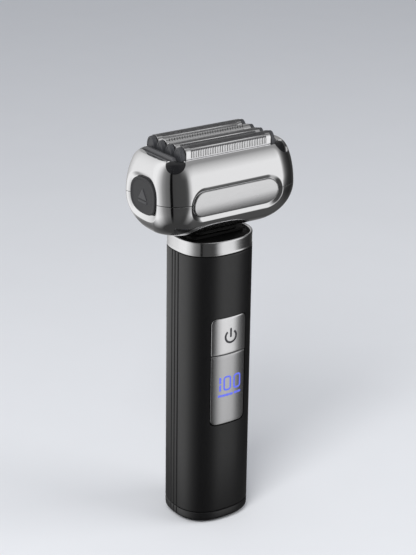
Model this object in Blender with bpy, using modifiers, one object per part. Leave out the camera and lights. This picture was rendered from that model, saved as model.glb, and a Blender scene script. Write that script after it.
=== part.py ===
"""Foil shaver: a four-row shaving head on a straight handle, as separate moving and fixed pieces.

Frame: metres, +Z up. The origin is the middle of the base. The display side faces -Y and the head's
long side runs along X, so its left end is at -X.
"""

from math import cos, pi, sin, tau

import bmesh
import bpy
from mathutils import Matrix, Vector

MM = 0.001
GAP = 0.3 * MM  # between pieces that meet

# Handle: a tube of superellipse section.
HANDLE_X = 15.55 * MM
HANDLE_Y = 14.14 * MM
HANDLE_POWER = 2.48
WALL = 1.6 * MM
BASE_RING_TOP = 5.0 * MM
SLEEVE_TOP = 111.0 * MM
COLLAR_TOP = 116.5 * MM
DECK_TOP = 115.7 * MM
GROOVE_PITCH = 2.0 * MM
GROOVE_WIDTH = 0.7 * MM
GROOVE_DEPTH = 0.4 * MM

# Control panel on the front of the handle.
PANEL_HALF = 7.9 * MM
PANEL_LOW = 42.0 * MM
PANEL_SEAM = 70.9 * MM
PANEL_HIGH = 86.0 * MM
PANEL_CORNER = 2.2 * MM
PANEL_THICK = 1.4 * MM

# Drive train in the handle, on the Z axis.
BATTERY_RADIUS = 7.0 * MM
BATTERY_LOW = 12.0 * MM
BATTERY_HIGH = 62.0 * MM
BATTERY_BACK = 3.4 * MM
BOARD_FRONT = -9.4 * MM
BOARD_THICK = 1.0 * MM
MOTOR_RADIUS = 10.2 * MM
MOTOR_LOW = 84.0 * MM
MOTOR_HIGH = 108.0 * MM
CAM_OFFSET = 0.6 * MM
CAM_PIN_TOP = 131.6 * MM

# Head: widest at its equator, in sections that are rectangles with superellipse corners.
EQUATOR = 133.4 * MM
SEAM = 134.3 * MM
HEAD_LOW = 119.6 * MM
HEAD_HIGH = 150.43 * MM
HEAD_X = 30.65 * MM
HEAD_Y = 17.55 * MM
HEAD_LOW_X = 21.7 * MM
HEAD_LOW_Y = 7.2 * MM
HEAD_HIGH_X = 22.8 * MM
HEAD_HIGH_Y = 10.9 * MM
HEAD_LOW_POWERS = (2.08, 1.72)
HEAD_HIGH_POWERS = (2.86, 1.77)
CORNER_X = 11.6 * MM
CORNER_Y = 9.3 * MM
CORNER_POWER = 1.85
CORNER_POWER_TOP = 3.0
FRAME_TOP = 149.55 * MM
WINDOW_X = 23.2 * MM
WINDOW_Y = 11.7 * MM
WINDOW_CORNER = 3.0 * MM
TILT_AXIS = 126.0 * MM
NECK_X = 8.5 * MM
NECK_Y = 4.0 * MM
NECK_CORNER = 2.4 * MM
NECK_HOLE_CORNER = 3.0 * MM

# Oval trim panels and release buttons.
OVAL_HALF = 19.2 * MM
OVAL_RISE = 5.2 * MM
RELEASE_Z = 134.9 * MM
RELEASE_Y = 8.0 * MM
RELEASE_RISE = 7.1 * MM

# Shaving rows, front to back: two arched foils outside, two trimmers inside.
FOIL_Y = 8.8 * MM
FOIL_HALF = 2.55 * MM
FOIL_TOP = 154.0 * MM
FOIL_SHOULDER = 151.6 * MM
FOIL_LENGTH = 19.0 * MM
TRIMMER_Y = 2.85 * MM
TRIMMER_HALF = 2.05 * MM
TRIMMER_TOP = 153.6 * MM
TRIMMER_SHOULDER = 152.2 * MM
SHEET = 0.35 * MM
HOLDER_INNER = 19.3 * MM
HOLDER_OUTER = 20.9 * MM
CUTTER_HALF_LENGTH = 17.2 * MM
CUTTER_PITCH = 3.2 * MM

RING_ARC = 8  # steps in each corner of a head ring

CHROME = ((0.72, 0.73, 0.75), 0.12, 1.0)
STEEL = ((0.62, 0.63, 0.65), 0.3, 1.0)
SATIN = ((0.55, 0.56, 0.58), 0.35, 1.0)
BLACK = ((0.012, 0.012, 0.013), 0.45, 0.0)
GREY = ((0.045, 0.045, 0.05), 0.5, 0.0)
RUBBER = ((0.02, 0.02, 0.02), 0.8, 0.0)
BOARD = ((0.02, 0.11, 0.05), 0.5, 0.0)
SMOKED = ((0.03, 0.03, 0.06), 0.1, 0.0)
BRASS = ((0.7, 0.5, 0.2), 0.3, 1.0)
RED = ((0.5, 0.02, 0.02), 0.5, 0.0)
BLUE = ((0.03, 0.08, 0.35), 0.45, 0.0)


# ---------------------------------------------------------------- helpers


def clear_scene():
    for obj in list(bpy.data.objects):
        bpy.data.objects.remove(obj)


def new_collection(name):
    collection = bpy.data.collections.new(name)
    bpy.context.scene.collection.children.link(collection)
    return collection


def paint(obj, look):
    """Gives the object its own Principled material."""
    colour, roughness, metallic = look
    material = bpy.data.materials.new(obj.name)
    material.use_nodes = True
    shader = material.node_tree.nodes["Principled BSDF"]
    shader.inputs["Base Color"].default_value = (*colour, 1.0)
    shader.inputs["Roughness"].default_value = roughness
    shader.inputs["Metallic"].default_value = metallic
    obj.data.materials.clear()
    obj.data.materials.append(material)


def add_mesh(name, bm, smooth=True):
    """Makes an object of a bmesh whose faces are closed, with its normals facing out."""
    bmesh.ops.recalc_face_normals(bm, faces=bm.faces)
    mesh = bpy.data.meshes.new(name)
    bm.to_mesh(mesh)
    bm.free()
    if smooth:
        mesh.shade_smooth()
        mesh.set_sharp_from_angle(angle=pi / 5)
    obj = bpy.data.objects.new(name, mesh)
    PARTS.objects.link(obj)
    return obj


def piece(obj, look, parent=None):
    """Finishes a sub-part: its material, and the empty on its joint's axis that it moves with."""
    paint(obj, look)
    if parent is not None:
        obj.parent = parent
        obj.matrix_parent_inverse = parent.matrix_world.inverted()
    return obj


def joint(name, location, parent=None):
    """An empty on a joint's axis."""
    empty = bpy.data.objects.new(name, None)
    empty.empty_display_size = 5 * MM
    PARTS.objects.link(empty)
    empty.matrix_world = Matrix.Translation(location)
    bpy.context.view_layer.update()
    if parent is not None:
        empty.parent = parent
        empty.matrix_parent_inverse = parent.matrix_world.inverted()
        bpy.context.view_layer.update()
    return empty


def as_cutter(obj):
    PARTS.objects.unlink(obj)
    CUTTERS.objects.link(obj)
    obj.hide_render = True
    obj.display_type = "WIRE"
    return obj


def boolean(obj, other, operation="DIFFERENCE"):
    modifier = obj.modifiers.new(other.name, "BOOLEAN")
    modifier.operation = operation
    modifier.solver = "EXACT"
    modifier.object = as_cutter(other) if other.name in PARTS.objects else other
    return obj


TURN = {
    "X": Matrix(((0, 0, 1, 0), (1, 0, 0, 0), (0, 1, 0, 0), (0, 0, 0, 1))),
    "Y": Matrix(((1, 0, 0, 0), (0, 0, 1, 0), (0, 1, 0, 0), (0, 0, 0, 1))),
    "Z": Matrix.Identity(4),
}


def plate(name, outlines, low, high, axis="Z"):
    """Extrudes flat outlines from low to high along an axis. Outlines after the first are holes."""
    curve = bpy.data.curves.new(name, "CURVE")
    curve.dimensions = "2D"
    curve.fill_mode = "BOTH"
    curve.extrude = (high - low) / 2
    for outline in outlines:
        spline = curve.splines.new("POLY")
        spline.points.add(len(outline) - 1)
        for point, (u, v) in zip(spline.points, outline):
            point.co = (u, v, 0, 1)
        spline.use_cyclic_u = True
    source = bpy.data.objects.new(name, curve)
    PARTS.objects.link(source)
    graph = bpy.context.evaluated_depsgraph_get()
    mesh = bpy.data.meshes.new_from_object(source.evaluated_get(graph))
    bpy.data.objects.remove(source)
    bm = bmesh.new()
    bm.from_mesh(mesh)
    bpy.data.meshes.remove(mesh)
    bmesh.ops.transform(bm, matrix=Matrix.Translation((0, 0, (low + high) / 2)), verts=bm.verts)
    bmesh.ops.transform(bm, matrix=TURN[axis], verts=bm.verts)
    bmesh.ops.remove_doubles(bm, verts=bm.verts, dist=0.001 * MM)
    return add_mesh(name, bm)


def loft(name, rings, closed=False):
    """Skins rings that have equal numbers of points. A closed loft joins its last ring to its first."""
    bm = bmesh.new()
    skins = [[bm.verts.new(point) for point in ring] for ring in rings]
    pairs = list(zip(skins, skins[1:]))
    if closed:
        pairs.append((skins[-1], skins[0]))
    else:
        bm.faces.new(skins[0])
        bm.faces.new(skins[-1])
    for one, other in pairs:
        for i in range(len(one)):
            j = (i + 1) % len(one)
            bm.faces.new((one[i], one[j], other[j], other[i]))
    return add_mesh(name, bm)


def box(name, low, high):
    bm = bmesh.new()
    bmesh.ops.create_cube(bm, size=1)
    size = Vector(high) - Vector(low)
    middle = (Vector(high) + Vector(low)) / 2
    bmesh.ops.transform(bm, matrix=Matrix.Translation(middle) @ Matrix.Diagonal((*size, 1)), verts=bm.verts)
    return add_mesh(name, bm, smooth=False)


def rod(name, radius, start, end, segments=20):
    """A cylinder from one point to another."""
    along = Vector(end) - Vector(start)
    bm = bmesh.new()
    bmesh.ops.create_cone(
        bm, cap_ends=True, segments=segments, radius1=radius, radius2=radius, depth=along.length
    )
    turn = along.to_track_quat("Z", "Y").to_matrix().to_4x4()
    middle = (Vector(start) + Vector(end)) / 2
    bmesh.ops.transform(bm, matrix=Matrix.Translation(middle) @ turn, verts=bm.verts)
    return add_mesh(name, bm)


def turned(name, profile, centre=(0, 0, 0), steps=24):
    """Turns a profile of (radius, height) points, from the top down the outside, round the Z axis."""
    mesh = bpy.data.meshes.new(name)
    edges = [(i, i + 1) for i in range(len(profile) - 1)]
    if profile[0][0] > 0:
        edges.append((len(profile) - 1, 0))
    mesh.from_pydata([(radius, 0, height) for radius, height in profile], edges, [])
    obj = bpy.data.objects.new(name, mesh)
    obj.location = centre
    PARTS.objects.link(obj)
    screw = obj.modifiers.new("Screw", "SCREW")
    screw.steps = steps
    screw.render_steps = steps
    screw.use_merge_vertices = True
    screw.merge_threshold = 0.001 * MM
    screw.use_smooth_shade = True
    return obj


def wire(name, points, radius, resolution=1):
    """A round wire along points."""
    curve = bpy.data.curves.new(name, "CURVE")
    curve.dimensions = "3D"
    curve.bevel_depth = radius
    curve.bevel_resolution = resolution
    curve.use_fill_caps = True
    spline = curve.splines.new("POLY")
    spline.points.add(len(points) - 1)
    for point, place in zip(spline.points, points):
        point.co = (*place, 1)
    obj = bpy.data.objects.new(name, curve)
    PARTS.objects.link(obj)
    return obj


def coil(name, start, along, length, radius, turns, wire_radius):
    """A coil spring that starts at a point and runs along an axis."""
    turn = Vector(along).to_track_quat("Z", "Y")
    count = int(turns * 8)
    points = []
    for i in range(count + 1):
        angle = tau * turns * i / count
        local = Vector((radius * cos(angle), radius * sin(angle), length * i / count))
        points.append(Vector(start) + turn @ local)
    return wire(name, points, wire_radius)


# ---------------------------------------------------------------- outlines


def handle_outline(inset=0.0, count=48):
    """The handle's superellipse, moved in by an inset."""
    points = []
    for i in range(count):
        angle = tau * i / count
        c, s = cos(angle), sin(angle)
        x = (HANDLE_X - inset) * abs(c) ** (2 / HANDLE_POWER) * (1 if c > 0 else -1)
        y = (HANDLE_Y - inset) * abs(s) ** (2 / HANDLE_POWER) * (1 if s > 0 else -1)
        points.append((x, y))
    return points


def rounded(half_u, half_v, corner, centre=(0.0, 0.0), arc=5):
    """A rounded rectangle, with each corner drawn in arc steps."""
    points = []
    corners = ((1, 1, 0), (-1, 1, 1), (-1, -1, 2), (1, -1, 3))
    for sign_u, sign_v, quarter in corners:
        for i in range(arc + 1):
            angle = pi / 2 * (quarter + i / arc)
            u = centre[0] + sign_u * (half_u - corner) + corner * cos(angle)
            v = centre[1] + sign_v * (half_v - corner) + corner * sin(angle)
            points.append((u, v))
    return points


def arch(centre, half, low, shoulder, top, steps=12):
    """An upright outline with a half-ellipse on top, anticlockwise from its lower right corner."""
    points = [(centre + half, low)]
    for i in range(steps + 1):
        angle = pi * i / steps
        points.append((centre + half * cos(angle), shoulder + (top - shoulder) * sin(angle)))
    points.append((centre - half, low))
    return points


def arch_sheet(centre, half, low, shoulder, top, thick):
    """The outline of an arched sheet: the outside one way and the inside back."""
    outside = arch(centre, half, low, shoulder, top)
    inside = arch(centre, half - thick, low, shoulder, top - thick)
    return outside + inside[::-1]


def swell(narrow, wide, t, power):
    """A half-size that falls from wide at t = 0 to narrow at t = 1, along a superellipse."""
    return narrow + (wide - narrow) * (1 - t**power) ** (1 / power)


def head_half_sizes(height):
    """The head's half-length and half-depth at a height, before any inset, and its corners' power."""
    if height < EQUATOR:
        t = min(1.0, (EQUATOR - height) / (EQUATOR - HEAD_LOW))
        x = swell(HEAD_LOW_X, HEAD_X, t, HEAD_LOW_POWERS[0])
        y = swell(HEAD_LOW_Y, HEAD_Y, t, HEAD_LOW_POWERS[1])
        return x, y, CORNER_POWER
    t = min(1.0, (height - EQUATOR) / (HEAD_HIGH - EQUATOR))
    x = swell(HEAD_HIGH_X, HEAD_X, t, HEAD_HIGH_POWERS[0])
    y = swell(HEAD_HIGH_Y, HEAD_Y, t, HEAD_HIGH_POWERS[1])
    return x, y, CORNER_POWER + (CORNER_POWER_TOP - CORNER_POWER) * t**6


def ring_at(height, half_x, half_y, corner):
    """A level ring: a rounded rectangle with as many points as a head ring."""
    return [(x, y, height) for x, y in rounded(half_x, half_y, corner, arc=RING_ARC)]


def head_ring(height, inset=0.0, least=(0.0, 0.0)):
    """The head's outline at a height, moved in by an inset but no further than the least half-sizes."""
    half_x, half_y, power = head_half_sizes(height)
    half_x = max(half_x - inset, least[0])
    half_y = max(half_y - inset, least[1])
    corner_x = CORNER_X * half_x / HEAD_X
    corner_y = min(CORNER_Y, 0.95 * half_y)
    points = []
    for sign_x, sign_y, backwards in ((1, 1, False), (-1, 1, True), (-1, -1, False), (1, -1, True)):
        for i in range(RING_ARC + 1):
            angle = pi / 2 * (RING_ARC - i if backwards else i) / RING_ARC
            x = half_x - corner_x + corner_x * max(cos(angle), 0) ** (2 / power)
            y = half_y - corner_y + corner_y * max(sin(angle), 0) ** (2 / power)
            points.append((sign_x * x, sign_y * y, height))
    return points


def spaced(low, high, count):
    return [low + (high - low) * i / (count - 1) for i in range(count)]


# ---------------------------------------------------------------- handle


def make_base():
    cap_edge = 0.6 * MM
    inset = WALL + GAP
    rings = []
    for height, more in ((0, cap_edge), (cap_edge, 0), (6 * MM, 0)):
        rings.append([(x, y, height) for x, y in handle_outline(inset + more)])
    cap = loft("base_cap", rings)
    boolean(cap, plate("usb_cut", [rounded(4.9 * MM, 2.0 * MM, 1.9 * MM)], -1 * MM, 7 * MM))
    piece(cap, BLACK)

    outlines = [handle_outline(), handle_outline(WALL)]
    piece(plate("base_ring", outlines, 0.5 * MM, BASE_RING_TOP), STEEL)

    outlines = [rounded(4.5 * MM, 1.65 * MM, 1.6 * MM), rounded(4.2 * MM, 1.35 * MM, 1.3 * MM)]
    port = plate("usb_port", outlines, 0.5 * MM, 8.0 * MM)
    boolean(port, plate("usb_back", [rounded(4.4 * MM, 1.5 * MM, 1.45 * MM)], 6.8 * MM, 7.9 * MM), "UNION")
    piece(port, STEEL)

    piece(plate("charge_board", [rounded(9 * MM, 7 * MM, 1 * MM)], 8.3 * MM, 9.1 * MM), BOARD)

    outlines = [handle_outline(WALL + GAP), handle_outline(WALL + 1.6 * MM)]
    piece(plate("base_seal", outlines, 6.3 * MM, 7.6 * MM), RUBBER)


def panel_cut():
    """The opening in the sleeve that the control panel fills."""
    half_height = (PANEL_HIGH - PANEL_LOW) / 2 + GAP
    middle = (PANEL_HIGH + PANEL_LOW) / 2
    outline = rounded(PANEL_HALF + GAP, half_height, PANEL_CORNER + GAP, (0, middle))
    return plate("panel_cut", [outline], -HANDLE_Y - 2 * MM, -HANDLE_Y + 5 * MM, "Y")


def groove_cut():
    """Three fine grooves down each flank of the sleeve."""
    bm = bmesh.new()
    for side in (-1, 1):
        for step in (-1, 0, 1):
            size = (2 * GROOVE_DEPTH, GROOVE_WIDTH, SLEEVE_TOP)
            middle = (side * HANDLE_X, step * GROOVE_PITCH, SLEEVE_TOP / 2 + 3 * MM)
            bmesh.ops.create_cube(
                bm, size=1, matrix=Matrix.Translation(middle) @ Matrix.Diagonal((*size, 1))
            )
    return add_mesh("groove_cut", bm, smooth=False)


def make_sleeve():
    outlines = [handle_outline(), handle_outline(WALL)]
    sleeve = plate("handle_sleeve", outlines, BASE_RING_TOP + GAP, SLEEVE_TOP)
    boolean(sleeve, panel_cut())
    boolean(sleeve, groove_cut())
    piece(sleeve, BLACK)
    piece(plate("collar_ring", outlines, SLEEVE_TOP + GAP, COLLAR_TOP), STEEL)


def panel_piece(name, low, high):
    """The part of the handle's skin between two heights that lies inside the control panel's outline."""
    skin = plate(name, [handle_outline(), handle_outline(PANEL_THICK)], low, high)
    middle = (PANEL_LOW + PANEL_HIGH) / 2
    outline = rounded(PANEL_HALF, PANEL_HIGH - middle, PANEL_CORNER, (0, middle))
    cut = plate(f"{name}_outline", [outline], -HANDLE_Y - 1 * MM, -HANDLE_Y + 6 * MM, "Y")
    return boolean(skin, cut, "INTERSECT")


def make_panel(button_joint):
    window = panel_piece("display_window", PANEL_LOW, PANEL_SEAM - GAP)
    legs = ((43.5 * MM, 45.0 * MM), (67.8 * MM, 69.3 * MM))
    for number, (low, high) in enumerate(legs):
        foot = BOARD_FRONT - GAP
        leg = box(f"window_leg_{number}", (-5 * MM, -13.2 * MM, low), (5 * MM, foot, high))
        boolean(window, leg, "UNION")
    piece(window, SATIN)

    button = panel_piece("power_button", PANEL_SEAM, PANEL_HIGH)
    stem = rod("button_stem", 1.4 * MM, (0, -13.2 * MM, 79 * MM), (0, -11.6 * MM, 79 * MM), 16)
    boolean(button, stem, "UNION")
    piece(button, SATIN, button_joint)

    low, high = BOARD_FRONT, BOARD_FRONT + BOARD_THICK
    board = box("main_board", (-6.8 * MM, low, 14 * MM), (6.8 * MM, high, 81.5 * MM))
    piece(board, BOARD)
    front = BOARD_FRONT - GAP
    module = box("display_module", (-5.6 * MM, -11.3 * MM, 46 * MM), (5.6 * MM, front, 67 * MM))
    piece(module, SMOKED)
    switch = box("tact_switch", (-2.3 * MM, -10.9 * MM, 76.7 * MM), (2.3 * MM, front, 81.3 * MM))
    piece(switch, BLACK)


def make_power():
    """The battery with its tabs, the cradle round them and the leads to the motor."""
    inset = WALL + GAP
    low, high = 9.5 * MM, 81.5 * MM
    outlines = [handle_outline(inset), handle_outline(inset + 1.2 * MM)]
    cradle = plate("chassis", outlines, low, high)
    front = box("chassis_cut", (-20 * MM, -20 * MM, 0), (20 * MM, -3 * MM, 90 * MM))
    boolean(cradle, front)
    for number, shelf_low in enumerate((low, 64.5 * MM)):
        outline = handle_outline(inset + 0.6 * MM)
        shelf = plate(f"chassis_shelf_{number}", [outline], shelf_low, shelf_low + 1.2 * MM)
        slot = box(f"shelf_cut_{number}", (-20 * MM, -20 * MM, 0), (20 * MM, -7.8 * MM, 90 * MM))
        boolean(shelf, slot)
        boolean(cradle, shelf, "UNION")
    piece(cradle, GREY)

    centre = (0, BATTERY_BACK, 0)
    nub = 2.6 * MM
    profile = [
        (0, BATTERY_HIGH),
        (nub, BATTERY_HIGH),
        (nub, BATTERY_HIGH - 1 * MM),
        (BATTERY_RADIUS, BATTERY_HIGH - 1 * MM),
        (BATTERY_RADIUS, BATTERY_LOW),
        (0, BATTERY_LOW),
    ]
    piece(turned("battery_cell", profile, centre), BLUE)
    for name, low in (("battery_tab_bottom", 11.2 * MM), ("battery_tab_top", BATTERY_HIGH + GAP)):
        tab = box(name, (-3 * MM, -6.5 * MM, low), (3 * MM, 7 * MM, low + 0.4 * MM))
        piece(tab, BRASS)

    for side, name, look in ((-1, "motor_lead_red", RED), (1, "motor_lead_black", RUBBER)):
        start = Vector((side * 4 * MM, -7.5 * MM, 70 * MM))
        end = Vector((side * 5.5 * MM, -1 * MM, 81.2 * MM))
        points = []
        for i in range(9):
            t = i / 8
            bulge = Vector((side * 2 * MM * sin(pi * t), 0, -1.5 * MM * sin(pi * t)))
            points.append(start.lerp(end, t) + bulge)
        piece(wire(name, points, 0.45 * MM, 2), look)


def make_motor(rotor_joint):
    bore = 1.4 * MM
    profile = [
        (0, 95 * MM),
        (bore, 95 * MM),
        (bore, MOTOR_HIGH),
        (MOTOR_RADIUS, MOTOR_HIGH),
        (MOTOR_RADIUS, MOTOR_LOW),
        (0, MOTOR_LOW),
    ]
    piece(turned("motor_can", profile, steps=32), STEEL)
    profile = [(0, 83.7 * MM), (9.8 * MM, 83.7 * MM), (9.8 * MM, 82 * MM), (0, 82 * MM)]
    piece(turned("motor_end_cap", profile, steps=32), GREY)

    hole = [(3.3 * MM * cos(tau * i / 24), 3.3 * MM * sin(tau * i / 24)) for i in range(24)]
    outlines = [handle_outline(WALL + GAP), hole]
    piece(plate("motor_bracket", outlines, 108.3 * MM, 109.7 * MM), GREY)

    shaft = rod("motor_shaft", 1.0 * MM, (0, 0, 95.3 * MM), (0, 0, 112.6 * MM))
    piece(shaft, STEEL, rotor_joint)
    profile = [
        (0, 114.6 * MM),
        (2.6 * MM, 114.6 * MM),
        (2.6 * MM, 111.0 * MM),
        (1.3 * MM, 111.0 * MM),
        (1.3 * MM, 112.9 * MM),
        (0, 112.9 * MM),
    ]
    cam = turned("eccentric_cam", profile)
    pin = rod("cam_pin", 0.7 * MM, (CAM_OFFSET, 0, 114 * MM), (CAM_OFFSET, 0, CAM_PIN_TOP), 16)
    boolean(cam, pin, "UNION")
    piece(cam, STEEL, rotor_joint)


def neck_ring(half_x, half_y, height):
    """A section of the neck: a rounded rectangle."""
    outline = rounded(half_x, half_y, min(NECK_CORNER, 0.9 * half_y))
    return [(x, y, height) for x, y in outline]


def make_neck():
    bore = 3.4 * MM
    hole = [(bore * cos(tau * i / 24), bore * sin(tau * i / 24)) for i in range(24)]
    deck = plate("top_deck", [handle_outline(WALL + GAP), hole], 112.2 * MM, DECK_TOP)
    for side in (-1, 1):
        x = side * 10.3 * MM
        cut = rod(f"deck_hole_{side}", 0.8 * MM, (x, 0, 113.2 * MM), (x, 0, 117 * MM), 12)
        boolean(deck, cut)
    piece(deck, BLACK)
    outlines = [handle_outline(WALL + GAP), handle_outline(WALL + 1.5 * MM)]
    piece(plate("deck_seal", outlines, 110.4 * MM, 111.9 * MM), RUBBER)

    foot, foot_top, top = DECK_TOP + GAP, DECK_TOP + 1.3 * MM, 128.5 * MM
    foot_x, foot_y = 12.1 * MM, 6.0 * MM
    bore_x, bore_y = NECK_X - 2.2 * MM, NECK_Y - 1.4 * MM
    section = (
        (foot_x, foot_y, foot),
        (foot_x, foot_y, foot_top),
        (NECK_X, NECK_Y, foot_top),
        (NECK_X, NECK_Y, top),
        (bore_x, bore_y, top),
        (bore_x, bore_y, foot),
    )
    post = loft("neck_post", [neck_ring(*row) for row in section], closed=True)
    axle = rod("neck_bore", 1.25 * MM, (-12 * MM, 0, TILT_AXIS), (12 * MM, 0, TILT_AXIS))
    boolean(post, axle)
    for side, word in ((-1, "left"), (1, "right")):
        x = side * 10.3 * MM
        cut = rod(f"foot_hole_{word}", 0.8 * MM, (x, 0, 115 * MM), (x, 0, 118 * MM), 12)
        boolean(post, cut)
        head = foot_top + GAP
        profile = [
            (0, head + 0.9 * MM),
            (1.3 * MM, head + 0.9 * MM),
            (1.3 * MM, head),
            (0.55 * MM, head),
            (0.55 * MM, 113.5 * MM),
            (0, 113.5 * MM),
        ]
        piece(turned(f"neck_screw_{word}", profile, (x, 0, 0), 12), STEEL)
    piece(post, BLACK)

    low, high = 117.4 * MM, 118.3 * MM
    inside_x, inside_y = NECK_X + 0.4 * MM, NECK_Y + 0.4 * MM
    outside_x = NECK_X + 0.5 * MM
    section = (
        (inside_x, inside_y, low),
        (outside_x, NECK_Y + 1.6 * MM, low),
        (outside_x, NECK_Y + 1.0 * MM, high),
        (inside_x, inside_y, high),
    )
    piece(loft("neck_boot", [neck_ring(*row) for row in section], closed=True), RUBBER)


# ---------------------------------------------------------------- head


def release_cut(side, more, low, high):
    """A prism of a release button's outline, moved out by more."""
    outline = rounded(RELEASE_Y + more, RELEASE_RISE + more, 5.2 * MM + more, (0, RELEASE_Z), arc=6)
    start, end = sorted((side * low, side * high))
    return plate(f"release_cut_{side}_{more * 1e4:.0f}_{low * 1e4:.0f}", [outline], start, end, "X")


def oval_cut(side, more, name):
    """A prism of an oval panel's outline, moved out by more."""
    outline = rounded(OVAL_HALF + more, OVAL_RISE + more, OVAL_RISE + more - 0.01 * MM, (0, EQUATOR), arc=8)
    start, end = sorted((side * 10 * MM, side * 19 * MM))
    return plate(f"{name}_{side}", [outline], start, end, "Y")


def make_shells(head_joint, frame_joint):
    wall = 1.4 * MM
    outside = [head_ring(height) for height in spaced(SEAM - GAP / 2, HEAD_LOW + 0.15 * MM, 8)]
    bottom = [ring_at(HEAD_LOW, HEAD_LOW_X - 1 * MM, HEAD_LOW_Y - 0.4 * MM, 6.4 * MM)]
    hole = [
        ring_at(height, NECK_X + 0.6 * MM, NECK_Y + 1.6 * MM, NECK_HOLE_CORNER)
        for height in (HEAD_LOW, HEAD_LOW + wall)
    ]
    inside = [head_ring(height, wall) for height in spaced(HEAD_LOW + wall, SEAM - GAP / 2, 6)]
    inside[0] = ring_at(HEAD_LOW + wall, 17 * MM, 7.2 * MM, 6.8 * MM)
    lower = loft("lower_shell", outside + bottom + hole + inside, closed=True)

    outside = [head_ring(height) for height in spaced(SEAM + GAP / 2, FRAME_TOP, 8)]
    window = [
        ring_at(FRAME_TOP, WINDOW_X + 1 * MM, WINDOW_Y + 0.05 * MM, WINDOW_CORNER + 1 * MM),
        ring_at(FRAME_TOP - 0.8 * MM, WINDOW_X, WINDOW_Y, WINDOW_CORNER),
        ring_at(FRAME_TOP - 1.3 * MM, WINDOW_X, WINDOW_Y, WINDOW_CORNER),
    ]
    least = (WINDOW_X + 0.2 * MM, WINDOW_Y + 0.2 * MM)
    inside = [head_ring(height, wall, least) for height in spaced(FRAME_TOP - 1.5 * MM, SEAM + GAP / 2, 6)]
    upper = loft("upper_frame", outside + window + inside, closed=True)

    for side in (-1, 1):
        holes = (oval_cut(side, GAP, "oval_hole"), release_cut(side, GAP, 26 * MM, 33 * MM))
        for shell in (lower, upper):
            for hole in holes:
                boolean(shell, hole)
    piece(lower, CHROME, head_joint)
    piece(upper, CHROME, frame_joint)


def make_ovals(head_joint):
    heights = spaced(EQUATOR - 8 * MM, EQUATOR + 8 * MM, 11)
    for side, word in ((-1, "front"), (1, "rear")):
        outside = [head_ring(height, 0.5 * MM) for height in heights]
        inside = [head_ring(height, 1.6 * MM) for height in heights[::-1]]
        skin = loft(f"oval_panel_{word}", outside + inside, closed=True)
        boolean(skin, oval_cut(side, 0, f"oval_{word}"), "INTERSECT")
        piece(skin, SATIN, head_joint)


def make_release_buttons(head_joint):
    for side, word in ((-1, "left"), (1, "right")):
        slide = joint(f"release_{word}_slide", (side * HEAD_X, 0, RELEASE_Z), head_joint)
        cap = release_cut(side, 0, 27.2 * MM, HEAD_X - 0.1 * MM)
        cap.name = f"release_button_{word}"
        boolean(cap, release_cut(side, 0.9 * MM, 26.7 * MM, 27.8 * MM), "UNION")
        piece(cap, GREY, slide)
        start = (side * 23.3 * MM, 0, RELEASE_Z)
        spring = coil(f"release_spring_{word}", start, (side, 0, 0), 3 * MM, 2 * MM, 3, 0.25 * MM)
        piece(spring, STEEL, slide)


def make_head_floor(head_joint):
    """The carrier inside the head, with lugs for the tilt pins below and rod blocks above."""
    low, high = 131.0 * MM, 132.4 * MM
    outlines = [rounded(22.5 * MM, 13.2 * MM, 5 * MM), rounded(7.2 * MM, 5.2 * MM, 1 * MM)]
    floor = plate("head_floor", outlines, low, high)
    for side, word in ((-1, "left"), (1, "right")):
        near, far = sorted((side * 9.5 * MM, side * 11.8 * MM))
        lug = box(f"lug_{word}", (near, -3 * MM, 123.6 * MM), (far, 3 * MM, low + 0.5 * MM))
        boolean(floor, lug, "UNION")
        start, end = (side * 9 * MM, 0, TILT_AXIS), (side * 12 * MM, 0, TILT_AXIS)
        boolean(floor, rod(f"lug_bore_{word}", 1.25 * MM, start, end))
        near, far = sorted((side * 18.6 * MM, side * 20.6 * MM))
        block = box(f"block_{word}", (near, -8.5 * MM, high - 0.5 * MM), (far, 8.5 * MM, 136 * MM))
        boolean(floor, block, "UNION")
        start, end = (side * 6.8 * MM, 0, TILT_AXIS), (side * 11.6 * MM, 0, TILT_AXIS)
        pin = rod(f"tilt_pin_{word}", 1.0 * MM, start, end)
        piece(pin, STEEL, head_joint)
    for y, word in ((-6 * MM, "front"), (6 * MM, "rear")):
        height = 134.5 * MM
        hole = rod(f"rod_hole_{word}", 0.95 * MM, (-30 * MM, y, height), (30 * MM, y, height), 12)
        boolean(floor, hole)
        guide = rod(f"guide_rod_{word}", 0.6 * MM, (-20.4 * MM, y, height), (20.4 * MM, y, height), 12)
        piece(guide, STEEL, head_joint)
    piece(floor, GREY, head_joint)


def make_bridge(bridge_joint):
    """The plate that swings the cutters from side to side. The cam pin works in the slot below it."""
    plate_low, plate_high = 133.0 * MM, 136.0 * MM
    bridge = plate("drive_bridge", [rounded(15 * MM, 11 * MM, 2 * MM)], plate_low, plate_high)
    fork = box("fork", (-5 * MM, -4 * MM, 129.9 * MM), (5 * MM, 4 * MM, plate_low + 0.5 * MM))
    boolean(bridge, fork, "UNION")
    slot = box("fork_slot", (-2.8 * MM, -2.7 * MM, 128 * MM), (2.8 * MM, 2.7 * MM, 133.5 * MM))
    boolean(bridge, slot)
    for y in (-6 * MM, 6 * MM):
        hole = bpy.data.objects["rod_hole_front" if y < 0 else "rod_hole_rear"]
        boolean(bridge, hole)
    for number, y in enumerate((-FOIL_Y, -TRIMMER_Y, TRIMMER_Y, FOIL_Y)):
        post = rod(f"post_{number}", 0.9 * MM, (0, y, plate_high - 0.5 * MM), (0, y, 141 * MM), 12)
        boolean(bridge, post, "UNION")
    piece(bridge, GREY, bridge_joint)


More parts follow.
